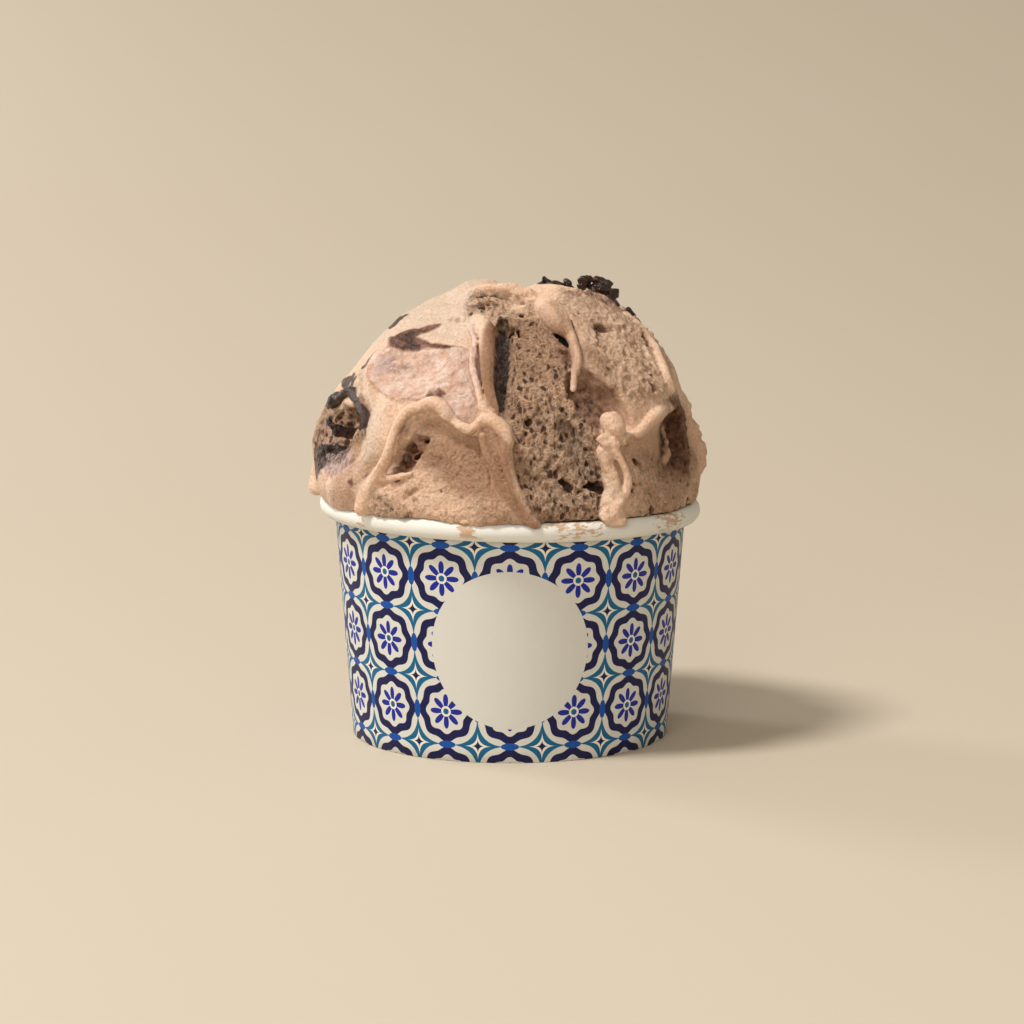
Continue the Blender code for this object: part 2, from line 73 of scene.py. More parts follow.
# Broad slabs laid on the ball: turn, rise, lift of the crown, half width, half height, half depth, blend
SLABS = {
    "top": (0, 84, -0.8, 19, 15, 12, 3),
    "peak": (-88, 81, 1.6, 10, 9, 8, 2),
    "upper left shoulder": (-62, 50, -1.7, 25, 22, 15, 2),
    "left back shoulder": (-110, 66, -1.6, 18, 18, 12, 3),
    "left flank": (-93, 8, 1.5, 18, 19, 16, 3),
    "left column": (-56, 20, 0.0, 10, 24, 9, 2),
    "wet slab": (-28, 33, -0.6, 20, 22, 16, 1.5),
    "upper ledge": (-14, 62, -0.2, 12, 8, 8, 1.5),
    "front left foot": (-20, -5, 0.4, 25, 11, 9, 2),
    "left foot": (-70, -4, 1.0, 19, 10, 9, 2),
    "right lobe": (66, 44, 2.4, 27, 27, 17, 2),
    "right back shoulder": (88, 66, 4.4, 15, 14, 12, 3),
    "right outline": (89, 46, 3.8, 15, 18, 12, 3),
    "right lobe top": (55, 62, 2.2, 13, 13, 10, 2),
    "right flank": (89, 2, 0.9, 20, 18, 14, 3),
    "front right foot": (50, -2, -0.4, 17, 12, 9, 2),
    "ledge over the cut face": (8, 67, -0.6, 18, 7, 6, 1.5),
    "back lobe": (172, 14, 2.4, 22, 24, 13, 2),
    "left back lobe": (-140, 22, 1.6, 22, 26, 14, 2),
    "right back lobe": (125, 22, 1.4, 20, 24, 13, 2),
}

# Spatula hollows: turn, rise, lift of the floor, half width, half height, half depth, roll, blend
HOLLOWS = {
    "wet patch": (-31, 37.5, -2.3, 19, 11, 9, -3, 1.2),
    "under the arch": (-19, 16.5, -4.4, 13.5, 7.0, 8.5, -4, 1.0),
    "below the arch": (-20, 6, -2.9, 15, 12, 9, 0, 2),
    "left cavity": (-64, 17.0, -8.0, 9.5, 9.0, 11, -18, 0.7),
    "pocket under the curl": (28.9, 51.8, -3.8, 2.8, 4.4, 3.7, 20, 0.5),
    "leaf hollow": (30.5, 29.4, -6.6, 3.8, 9.2, 7, 22, 0.6),
    "leaf hollow tail": (37.5, 26.5, -4.8, 2.8, 8.0, 6, 38, 0.6),
    "torn face at the left back": (-157, 24, -1.9, 10, 27, 9, 0, 0.7),
    "slab at the back": (158, 37, -1.2, 13, 10, 9, -6, 0.8),
    "right scoop": (62, 9, -3.4, 15, 13, 9, 0, 1.5),
    "right pit": (69, 14, -4.8, 5.5, 8.0, 5, 8, 1.0),
}

# Long strokes of the spatula down the sides and the back: rows of turn and rise
STROKE_RADIUS = 21.0
STROKE_DEPTH = 2.3
STROKES = {
    "right": [(107, 44), (108, 20), (110, -4)],
    "right back": [(112, 70), (122, 44), (128, 18), (129, -6)],
    "back": [(142, 68), (149, 42), (154, 16), (153, -6)],
    "left back": [(-170, 62), (-163, 38), (-160, 14), (-161, -6)],
    "left": [(-122, 52), (-117, 34), (-117, 14), (-121, -4)],
}

# Lips and steps where one smear ends on another: rows of turn, rise and height, with how far each
# falls away on its left and on its right, seen walking along it
BANKS = {
    "lip over the wet patch": (0.5, 7, [(-66, 43, 0), (-58, 45.5, 0.9), (-44, 46, 1.1), (-26, 46.5, 0.9), (-16, 48, 0)]),
    "left edge of the wet patch": (5, 0.5, [(-58, 45, 0.3), (-58.5, 38, 1.0), (-55, 32, 1.0), (-47, 27.5, 0.6), (-38, 27, 0)]),
    "edge of the left column": (0.6, 6, [(-72, 40, 0), (-62, 33, 1.0), (-53, 23, 1.3), (-47, 14, 1.0), (-45, 6, 0)]),
    "second edge of the left column": (0.5, 5, [(-62, 42, 0), (-52, 27, 0.7), (-45, 18, 0.8), (-42, 8, 0)]),
    "fold of the left leg": (0.6, 6, [(-40, 26, 0), (-40, 14, 1.3), (-43, 5, 1.6), (-46, -4, 1.4), (-46, -11, 0.6)]),
    "flap of the right lobe": (6, 0.5, [(42, 50, 0), (50, 46, 0.7), (58, 38, 1.0), (66, 32, 0.6), (70, 29, 0)]),
    "right silhouette flap": (6, 0.5, [(80, 56, 0), (79.5, 48, 0.8), (78, 42, 1.0), (72, 36.5, 1.0), (67, 31, 0.6)]),
    "low top fold": (0.5, 6, [(-34, 60, 0), (-22, 63.5, 1.5), (-10, 68, 1.3), (0, 69, 1.2), (12, 66, 0.8), (20, 64, 0)]),
    "high top fold": (0.5, 5, [(-60, 73, 0), (-40, 75, 1.4), (-20, 78, 1.3), (10, 79, 1.0), (50, 76, 0)]),
}

# Ridges and curled edges: rows of turn, rise, lift of the core and half width
RIDGES = {
    "arch": [(-34.6, 19.7, 0.1, 1.3), (-33.8, 23, 0.2, 1.4), (-29.7, 24.8, 0.3, 1.5), (-25.7, 26.3, 0.5, 1.8),
             (-22.3, 25.7, 0.7, 2.1), (-19.8, 23.2, 0.3, 1.6)],
    "arch saddle": [(-19.8, 23.2, 0, 1.5), (-16.5, 21.4, -0.5, 1.2), (-12.9, 19.6, -0.5, 1.3),
                    (-10.3, 19.7, -0.3, 1.4), (-7.4, 22.2, 0.4, 1.5)],
    "left leg": [(-34.6, 19.7, 0.1, 1.3), (-35.2, 16, 0.3, 1.2), (-36.2, 12, 0.4, 1.2), (-38.4, 7.4, 0.5, 1.3),
                 (-42.2, 1.8, 0.7, 1.5), (-45.5, -3.5, 0.9, 1.9), (-47, -7.7, 1.1, 2.1), (-46.5, -10, 1.2, 2.0)],
    "lip in the tear": [(-39, 3.4, 0.2, 1.0), (-35, 4.2, -0.6, 0.9), (-30.5, 5.4, -1.4, 0.6)],
    "upright ridge": [(-17, 60, -1.6, 2.2), (-9.5, 54, -0.6, 2.1), (-7.8, 46, -0.2, 1.7), (-6.8, 39, 0, 1.5),
                      (-5.8, 32, 0.1, 1.4), (-4.6, 25.5, 0.4, 1.5)],
    "thin lip by the wet patch": [(-19, 56.5, -0.2, 0.7), (-13, 48.5, 0.2, 0.75), (-11.7, 40.1, 0.3, 0.8),
                                  (-9.3, 31.1, 0.4, 0.9), (-7.4, 25, 0.5, 1.1)],
    "shoulder": [(-7.4, 22.3, 0.4, 1.5), (-3.6, 22.1, 0.8, 1.7), (-0.8, 19.5, 0.8, 1.7), (0.2, 16, 0.4, 1.5)],
    "right leg": [(0.2, 16, 0.3, 1.5), (-0.2, 10.4, 0.1, 1.7), (1, 5.2, 0.1, 1.7), (3.3, -0.1, 0.2, 1.7),
                  (6.4, -5.5, 0.5, 1.7), (9, -10.1, 0.9, 1.8), (11.2, -13.4, 1.2, 1.5)],
    "right leg's inner fold": [(-6.8, 18, -0.7, 1.2), (-4.6, 11, -0.7, 1.3), (-1.9, 4.5, -0.5, 1.2),
                               (1.6, -1.8, -0.3, 1.1), (5, -7, 0, 1.0)],
    "right leg's bank": [(-4, 21, -3.0, 3.0), (-2.6, 15, -2.8, 3.0), (-1.6, 9, -2.6, 2.8), (0.3, 3, -2.2, 2.4),
                         (3.4, -3.5, -1.8, 2.0), (7, -9, -1.2, 1.8)],
    "left leg's bank": [(-47, 28, -5.9, 6), (-44, 14, -5.8, 6), (-49, 2, -5.2, 6)],
    "front hem": [(-14, -7, -2.6, 2.6), (-5, -10.5, -0.6, 2.6), (4, -12, 0.3, 2.5)],
    "top curl": [(28.1, 67.6, 0.8, 1.6), (25.5, 60.3, 2, 3), (26.1, 56, 2.3, 3.2), (28, 53, 1.9, 2.3),
                  (30, 50.3, 1.4, 1.5), (30.2, 46.4, 1, 1.25), (28.6, 41.6, 0.7, 1.2),
                  (26.2, 37.2, 0.2, 1), (24.5, 32.6, -0.3, 0.8)],
    "knob": [(35.9, 21.2, 0.2, 2.85), (36.2, 20.2, 0.2, 2.85)],
    "knob's neck": [(36, 18.2, -0.8, 1.4), (35.2, 16.2, -1.0, 1.6), (35, 12.5, -1.0, 1.5)],
    "ledge under the knob": [(31.6, 16.1, -0.8, 1.2), (34.8, 15.2, -0.4, 1.5), (38.5, 15.4, -0.6, 1.2)],
    "foot under the knob": [(34.2, 0, -1.2, 2.4), (33.6, -5, -0.2, 3.0), (35.6, -9, 0.4, 2.9), (38, -12.8, 1.1, 2.2)],
    "body under the knob": [(33, 13, -1.6, 1.7), (33.6, 7, -1.6, 1.8), (34, 1, -1.2, 2.0)],
    "fin": [(34.8, 14, 0.2, 1.0), (37.1, 8.8, 0.4, 1.0), (38, 4.3, 0.4, 1.1), (37, 0, 0.2, 1.2)],
    "flake by the knob": [(38, 16.4, -0.2, 0.9), (41, 17.2, 0, 0.8), (43.8, 18.2, -0.2, 0.5)],
    "right lip": [(45.9, 18.3, 0.2, 1.5), (50.9, 20.4, 0.7, 2.1), (57.1, 22.2, 0.7, 2.1), (64, 23.6, 0.3, 1.6),
                  (71.5, 23.6, 0, 1.2)],
    "right edge": [(84, 28, 0.2, 1.6), (87, 21, 0, 2.2), (86, 16, -0.8, 1.7)],
    "right lumps": [(90, 14, 0, 2.6), (91, 7, 0.4, 2.6), (86, -2, -0.6, 2.2)],
    "right flap": [(80, 54, 3.4, 0.7), (79.6, 48, 3.8, 0.9), (79.3, 43, 3.3, 1.0), (74, 38, 3.0, 1.0),
                    (67, 32.6, 3.0, 1.1), (67.5, 28.5, 2.2, 1.2)],
    "inner line of the right flap": [(70, 42, 2.0, 0.6), (66, 37, 2.2, 0.7),
                                      (63, 31, 1.4, 0.6)],
    "crumbs in the right pit": [(66, 22, -3.7, 0.8), (70, 17, -4.3, 1.0), (67, 11, -3.7, 1.0),
                                 (63, 8, -3.2, 0.8)],
    "pale tip in the cavity": [(-78.8, 20.9, -3.6, 1.1), (-72.7, 24.1, -3, 1.3), (-66.5, 23.7, -3, 1)],
    "pale tongue in the cavity": [(-83.8, 14.8, -2.6, 0.9), (-83.2, 11.6, -1.6, 1.2), (-87.9, 7, -0.6, 1)],
    "far left drip": [(-92, -2, -0.6, 2.6), (-91, -7, 0.3, 2.6), (-90.5, -10.5, 1.0, 1.9), (-90, -12.5, 1.4, 1.3)],
    "low top fold": [(-30, 62, -2.2, 1.8), (-8, 67.5, -1.6, 1.5), (14, 66, -1.2, 1.6)],
    "high top fold": [(-50, 76, -0.8, 1.4), (-20, 77.5, 0.3, 1.8), (30, 76, -0.4, 1.8)],
    "right back curl": [(108, 52, -0.6, 1.2), (114, 40, 0.2, 1.8), (117, 26, 0.4, 2.2),
                        (118, 14, -0.4, 1.6)],
    "back curl": [(166, 40, -0.8, 1.4), (172, 26, 0.6, 2.3), (177, 8, 0.6, 2.8), (177, -6, 0.6, 3.0),
                  (178, -12.5, 1.0, 2.2)],
    "left back curl": [(-146, 58, -0.8, 1.4), (-142, 48, 0.2, 2.2), (-137, 41, 0.2, 2.6),
                       (-130, 38, 0, 2.0)],
    "left curl": [(-138, 30, -0.8, 1.4), (-137, 20, 0.2, 2.0), (-138, 8, 0.4, 2.4), (-140, -3, 0.2, 2.6)],
}

# The ones that tore as they were laid: how lumpy they are, in millimetres
CRUMBLY = {"arch saddle": 0.5, "knob's neck": 0.5, "ledge under the knob": 0.8, "foot under the knob": 0.8,
           "body under the knob": 0.4, "crumbs in the right pit": 1.1,
           "right lumps": 0.9, "right edge": 0.7, "flake by the knob": 0.4, "lip in the tear": 0.4,
           "thin lip by the wet patch": 0.4, "low top fold": 0.8, "high top fold": 0.6}

# Furrows drawn by the spatula's edge, in the same terms
FURROWS = {
    "beside the upright ridge": [(-1, 59, -3, 1.8), (-1.5, 44, -3, 2.3), (0.5, 26, -2.6, 2.0)],
    "slanted band": [(20, 21, -2, 2.4), (24.5, 13, -0.8, 3.2), (32, -1, 0.6, 3.0)],
    "hole by the right lip": [(74, 26.5, -0.2, 1.0), (74.5, 24, -0.6, 1.1)],
}

# Torn pits with a crisp edge: depth, width of the edge in degrees, outline in turn and rise
PITS = {
    "tear": (1.5, 1.2, [(-37.5, 3.8), (-37.5, 9), (-35, 12.5), (-32, 15), (-29, 17), (-25.6, 16.8), (-26, 12.8),
                        (-29.5, 9), (-32.2, 5), (-35, 3.2)]),
    "pit low under the arch": (1.3, 1.0, [(-31.5, -2.5), (-31, -0.5), (-28, 1), (-27.5, 0), (-30, -2.5)]),
    "crack in the right lobe": (1.1, 0.8, [(42.5, 46.5), (45.5, 51.5), (49.5, 54.8), (54.5, 53), (59, 48.5), (57.5, 47.5),
                                           (53, 50.5), (50, 51.6), (47.5, 49.5), (45, 46)]),
    "hole high in the right lobe": (2.0, 1.2, [(74, 45), (78, 45.5), (79, 42.5), (75, 41.5)]),
    "hole in the right lobe": (1.6, 1.0, [(56, 31), (58, 31), (58, 29), (56, 29)]),
    "slit by the right leg": (1.7, 1.0, [(16.5, 5.2), (18.5, 5), (21, 2.3), (20.5, 1), (18.8, 1.8)]),
    "branching crack": (1.9, 1.0, [(24.5, 2.4), (27, 3.6), (28.8, 2.8), (30.5, 4), (31, 2), (34, 0.3), (33, -0.6),
                                   (29, 0.6), (27, 1.4)]),
    "slit in the right foot": (1.2, 0.9, [(44, 12), (45.2, 12), (47.8, 7), (46.8, 6.4)]),
    "hole low in the right foot": (1.4, 1.0, [(48, -4.6), (49.4, -5), (49.2, -7.4), (47.8, -7)]),
    "hole by the rim": (1.5, 1.2, [(71, -4.5), (74, -5), (73, -8), (70.5, -7)]),
    "gap in the left column": (1.5, 1.2, [(-43.8, 24.5), (-42.5, 24), (-37.5, 17.5), (-37.5, 15.5), (-40.5, 18.5)]),
    "second gap in the left column": (1.1, 1.0, [(-47, 20), (-46, 20), (-43.5, 16), (-44.3, 15.5)]),
    "hole under the top strip": (1.2, 1.2, [(3, 58), (5.4, 58), (5, 55.5), (2.8, 56)]),
    "second hole under the top strip": (1.0, 1.0, [(6.5, 57), (8, 57.5), (8.4, 54.5), (7.2, 54)]),
    "hole in the cut face": (1.8, 0.9, [(6.2, 23.6), (7.8, 23.8), (8, 22.2), (6.5, 22)]),
}

# Narrow grooves drawn in the surface: half width, then rows of turn, rise and depth
GROOVES = {
    "edge of the right leg": (0.8, [(-22, 15.5, 0), (-14, 15.5, 0.25), (-9.6, 14.5, 0.5), (-7, 10.5, 0.7), (-4, 4, 0.6),
                                    (0.4, -3, 0.5), (4.5, -8.5, 0)]),
    "crease in the right leg": (0.6, [(-3.6, 17, 0), (-2.5, 10.4, 0.6), (-0.5, 5, 0.6), (2.2, -0.6, 0.5), (5.4, -6.3, 0.4),
                                      (7.5, -9.5, 0)]),
    "second crease in the right leg": (0.5, [(-1, 14, 0), (0.6, 8, 0.35), (2.1, 3.5, 0.35), (4.6, -1.6, 0)]),
    "crease above the left foot": (0.7, [(-51.5, 17, 0), (-50.5, 11, 0.5), (-54, 6, 0.5), (-60, 3, 0)]),
    "crease under the wet patch": (0.8, [(-53, 31, 0), (-46, 27, 0.5), (-40, 25.5, 0.5), (-37, 26, 0)]),
    "crease in the leaf hollow": (0.9, [(26.5, 36, 0.4), (31, 30, 1.2), (37, 22.5, 0.8)]),
    "second crease in the leaf hollow": (0.8, [(30.5, 37, 0.3), (34.5, 31.5, 1.1), (41, 24, 0.4)]),
    "crease in the right pit": (0.9, [(73, 24, 0.4), (70, 16, 1.3), (72, 8, 0.5)]),
    "second crease in the right pit": (0.8, [(66, 22, 0.3), (64.5, 15, 1.0), (66, 8, 0.4)]),
    "line down the right lobe": (0.7, [(50, 48, 0), (53, 43, 0.6), (50, 38, 0.6), (48, 34, 0.5), (47, 30, 0)]),
    "under the low top fold": (0.9, [(-23, 59, 0), (-21, 62, 1.0), (-14.5, 64, 1.1), (-8, 66.5, 0.9), (0, 67.5, 0)]),
    "under the high top fold": (0.9, [(-42, 71, 0), (-33, 73.5, 1.1), (-22, 75, 1.0), (-6, 75.5, 0.9), (8, 75.5, 0)]),
    "crease beside the thin lip": (0.7, [(-15, 54, 0), (-10.9, 47, 0.25), (-9.6, 40, 0.25), (-7.9, 32, 0.2), (-6.6, 27, 0)]),
    "crease right of the left cavity": (0.7, [(-46, 16.1, 0), (-45.4, 12.5, 0.5), (-46.5, 9.2, 0.5), (-49.8, 5.9, 0)]),
    "line below the right pit": (0.6, [(47, 6.5, 0), (49, 2, 0.5), (50.5, -2, 0)]),
}

# How the surface was left in each area: an outline in turn and rise, then what covers it.
# lumps: size, height. drag: width, length, height, way of the stroke in degrees from level.
# bubbles: spacing, smallest and largest radius, stretch, way of the stretch.
AREAS = {
    "whole heap": {"outline": None, "lumps": (7.0, 0.3), "drag": (1.6, 12.0, 0.10, 75)},
    "cut face, low": {
        "outline": [(0, 34), (26, 34), (28, 24), (31, 21), (33.5, 8), (34, 0), (31, -9), (13.5, -12), (9, -7),
                    (4.6, -1), (2.4, 6), (2.4, 13), (1.5, 20)],
        "lumps": (1.0, 0.5), "bubbles": (1.2, 0.14, 0.50, 1.5, 78)},
    "cut face, high": {
        "outline": [(1, 62), (25, 61), (28, 45), (26, 32), (2, 32)],
        "lumps": (1.1, 0.2), "drag": (0.8, 8.0, 0.36, 86), "bubbles": (1.35, 0.12, 0.40, 2.8, 84), "dark": 0.8},
    "slanted band": {
        "outline": [(18, 22), (22, 23), (27, 15), (33, 5), (33, 0), (28, 4), (22, 14)],
        "lumps": (1.4, 0.12)},
    "right lobe": {
        "outline": [(30, 66), (60, 72), (92, 62), (84, 34), (62, 27), (46, 25), (38, 31), (33, 42), (38, 55)],
        "lumps": (1.0, 0.55), "drag": (1.1, 6.0, 0.6, -58), "bubbles": (2.6, 0.15, 0.5, 1.5, -58), "dark": 0.24},
    "under the arch": {
        "outline": [(-36, 17), (-14, 16), (-9.2, 15.5), (-6.8, 9), (-2.6, 0), (2, -6), (6, -10.5), (-14, -11), (-43, -9),
                    (-38, 3)],
        "lumps": (0.9, 0.42), "drag": (0.9, 5.0, 0.25, 14), "bubbles": (3.4, 0.15, 0.4, 1.0, 0), "dark": 0.12},
    "foot of the left leg": {
        "outline": [(-43, 0), (-36, -1), (-28, -6), (-28, -12), (-44, -12)],
        "lumps": (1.4, 0.4), "bubbles": (1.9, 0.2, 0.6, 1.3, -30), "dark": 0.5},
    "wet patch": {
        "outline": [(-58, 44), (-30, 45.5), (-15, 46), (-12.5, 36), (-10.5, 26), (-17, 23), (-22, 29), (-38, 26.5),
                    (-45, 27.5), (-52, 29.5), (-57, 34)],
        "lumps": (1.2, 0.24), "drag": (1.0, 5.0, 0.28, 18)},
    "top strip": {
        "outline": [(-24, 60), (-2, 59), (24, 59.5), (34, 70), (10, 77), (-50, 78), (-40, 68)],
        "lumps": (1.2, 0.5), "bubbles": (1.9, 0.25, 0.65, 1.0, 0), "dark": 0.45},
    "upper left lobe": {
        "outline": [(-110, 40), (-66, 44), (-58, 50), (-20, 51), (-24, 60), (-45, 70), (-110, 82)],
        "lumps": (2.0, 0.08), "drag": (1.4, 12.0, 0.26, 24)},
    "right foot": {
        "outline": [(41, 16), (62, 8), (80, 14), (90, -10), (40, -12), (40, 2)],
        "lumps": (1.0, 0.5), "drag": (1.0, 4.0, 0.45, 60), "bubbles": (2.2, 0.15, 0.5, 1.2, 60), "dark": 0.2},
    "right pit": {
        "outline": [(60, 25), (76, 27), (82, 12), (74, 3), (62, 7)],
        "lumps": (2.2, 0.7), "drag": (1.4, 7.0, 0.5, 85), "bubbles": (2.8, 0.3, 0.9, 1.4, 80)},
    "leaf hollow": {
        "outline": [(26, 35), (34, 36), (40, 29), (38, 20), (30, 21)],
        "lumps": (2.0, 0.3), "drag": (1.2, 8.0, 0.35, 55)},
    "left cavity": {
        "outline": [(-84, 24), (-62, 29), (-48, 15), (-60, 7), (-80, 0), (-92, 8)],
        "lumps": (2.2, 0.7), "bubbles": (2.6, 0.3, 0.8, 1.0, 0)},
    "grains below the left cavity": {
        "outline": [(-85, 6), (-74, 8), (-60, 7.5), (-58, 1.5), (-66, -1.5), (-85, -1)],
        "lumps": (1.0, 0.45)},
    "torn face at the left back": {
        "outline": [(-166, 50), (-150, 57), (-143, 44), (-144, 22), (-150, -6), (-166, -6), (-172, 20)],
        "lumps": (1.0, 0.5), "bubbles": (1.5, 0.15, 0.5, 1.8, 85)},
    "torn face at the right back": {
        "outline": [(120, 40), (132, 42), (140, 24), (140, 2), (132, -8), (120, -6), (116, 16)],
        "lumps": (1.0, 0.5), "bubbles": (2.0, 0.15, 0.5, 1.4, 60), "dark": 0.6},
    "rough crown at the back": {
        "outline": [(110, 68), (150, 60), (178, 64), (178, 76), (120, 82)],
        "lumps": (1.2, 0.5), "bubbles": (2.0, 0.2, 0.6, 1.0, 0), "dark": 0.4},
    "flank at the right": {
        "outline": [(92, 40), (106, 44), (112, 20), (108, -6), (94, -6)],
        "lumps": (1.6, 0.3), "drag": (1.1, 7.0, 0.4, 75)},
    "flank at the left": {
        "outline": [(-98, 40), (-116, 46), (-126, 20), (-122, -6), (-98, -6)],
        "lumps": (1.6, 0.25), "drag": (1.1, 8.0, 0.35, 80)},
}


def way_out(turn, rise):
    """The direction from the ball's middle at a turn and a rise."""
    turn, rise = np.radians(turn), np.radians(rise)
    return np.stack((np.sin(turn) * np.cos(rise), -np.cos(turn) * np.cos(rise), np.sin(rise) + 0 * turn), -1)


def place(turn, rise, lift=0.0):
    """The point at a turn, a rise and a lift off the ball."""
    return BALL + (BALL_RADIUS + lift) * way_out(turn, rise)


def along_surface(turn, rise, way):
    """The direction on the surface at this many degrees above level, towards greater turn."""
    turn_angle, way = math.radians(turn), math.radians(way)
    level = np.array((math.cos(turn_angle), math.sin(turn_angle), 0.0))
    upward = np.cross(level, -way_out(turn, rise))
    return math.cos(way) * level + math.sin(way) * upward


def smooth_path(rows, steps=4):
    """A curve through the rows, with the radius carried along."""
    rows = np.array(rows, float)
    ends = np.vstack([2 * rows[0] - rows[1], rows, 2 * rows[-1] - rows[-2]])
    made = []
    for a, b, c, d in zip(ends, ends[1:], ends[2:], ends[3:]):
        for t in np.arange(steps) / steps:
            slope = (c - a) * t + (2 * a - 5 * b + 4 * c - d) * t**2 + (3 * b - a - 3 * c + d) * t**3
            made.append(b + slope / 2)
    return np.array([*made, rows[-1]])


# ---- Unevenness

LATTICE = 32  # the random lattice repeats after this many cells
CORNERS = [(i, j, k) for i in (0, 1) for j in (0, 1) for k in (0, 1)]
AROUND = [(i, j, k) for i in (-1, 0, 1) for j in (-1, 0, 1) for k in (-1, 0, 1)]


def lattice_index(cell):
    x, y, z = (cell[..., i] & LATTICE - 1 for i in range(3))
    return (x * LATTICE + y) * LATTICE + z


def lumps(points, size, seed):
    """Smooth lumps of about this size, from -1 to 1."""
    grid = (points / size).astype(np.float32)
    cell = np.floor(grid).astype(np.int32)
    part = grid - cell
    part = part * part * (3 - 2 * part)
    table = np.random.default_rng(seed).uniform(-1, 1, LATTICE**3).astype(np.float32)
    place_of = [[(cell[..., i] + one & LATTICE - 1) << 5 * (2 - i) for one in (0, 1)] for i in range(3)]
    share = [(1 - part[..., i], part[..., i]) for i in range(3)]
    total = 0
    for i, j, k in CORNERS:
        index = place_of[0][i] + place_of[1][j] + place_of[2][k]
        total = total + share[0][i] * share[1][j] * share[2][k] * table[index]
    return total


def rough(points, size, seed):
    """Lumps with smaller lumps on them."""
    return lumps(points, size, seed) + 0.5 * lumps(points[..., ::-1] + 7.7, size * 0.53, seed + 1)


def stretched(points, way, stretch):
    """Points squeezed along a direction, so that what is drawn from them is stretched along it."""
    along = points @ way
    return points + along[..., None] * (1 / stretch - 1) * way


def bubble_gap(points, spacing, smallest, largest, seed):
    """Distance to the wall of the nearest air bubble, below 0 inside it."""
    grid = (points / spacing).astype(np.float32)
    cell = np.floor(grid).astype(np.int32)
    random = np.random.default_rng(seed)
    middle = random.uniform(0, 1, (LATTICE**3, 3)).astype(np.float32)
    radius = smallest + (largest - smallest) * random.uniform(0, 1, LATTICE**3).astype(np.float32) ** 1.3
    best = np.full(points.shape[:-1], 9.0, np.float32)
    for step in AROUND:
        there = cell + step
        index = lattice_index(there)
        away = grid - there - middle[index]
        best = np.minimum(best, np.sqrt(np.einsum("...i,...i", away, away)) - radius[index] / spacing)
    return best * spacing


def sway(points, height=0.35, length=16.0, waves=7, seed=4):
    """A smooth wander of the whole form, so that no slab is a true ellipsoid."""
    random = np.random.default_rng(seed)
    way = random.normal(size=(3, waves, 3))
    way /= np.linalg.norm(way, axis=2, keepdims=True)
    way *= 2 * math.pi / (length * random.uniform(0.7, 1.5, (3, waves, 1)))
    phase = random.uniform(0, 2 * math.pi, (3, waves))
    way, phase = way.astype(np.float32), phase.astype(np.float32)
    made = [np.sin(points @ w.T + p).sum(-1) * height / math.sqrt(waves) for w, p in zip(way, phase)]
    return np.stack(made, -1).astype(np.float32)


def wobble(points, height=0.35, length=4.5):
    """A closer wander, which keeps a ridge from being an even tube."""
    return height * np.stack([lumps(points, length, seed) for seed in (11, 12, 13)], -1)


def outline_share(turn, rise, outline, soft=3.0):
    """1 inside an outline of turns and rises, 0 outside it, with an edge this many degrees wide."""
    corners = np.array(outline, float)
    narrow = math.cos(math.radians(corners[:, 1].mean()))
    middle = corners[:, 0].mean()
    x = ((turn - middle + 180) % 360 - 180) * narrow
    px, py = (corners[:, 0] - middle) * narrow, corners[:, 1]
    nearest, inside = np.full(turn.shape, 1e9), np.zeros(turn.shape, bool)
    for ax, ay, bx, by in zip(px, py, np.roll(px, -1), np.roll(py, -1)):
        ex, ey = bx - ax, by - ay
        t = np.clip(((x - ax) * ex + (rise - ay) * ey) / (ex * ex + ey * ey), 0, 1)
        nearest = np.minimum(nearest, (x - ax - t * ex) ** 2 + (rise - ay - t * ey) ** 2)
        if ey:
            inside ^= ((ay > rise) != (by > rise)) & (x < ax + (rise - ay) * ex / ey)
    gap = np.where(inside, 1, -1) * np.sqrt(nearest)
    share = np.clip(0.5 + gap / soft, 0, 1)
    return share * share * (3 - 2 * share)


def gap_to_segment(where, start, end):
    """Distance to a straight piece of a path, and how far along it the nearest point is."""
    start, step = start.astype(np.float32), (end - start).astype(np.float32)
    away = where - start
    t = np.clip(away @ step / max(float(step @ step), 1e-9), 0, 1)
    away -= t[..., None] * step
    return np.sqrt(np.einsum("...i,...i", away, away)), t


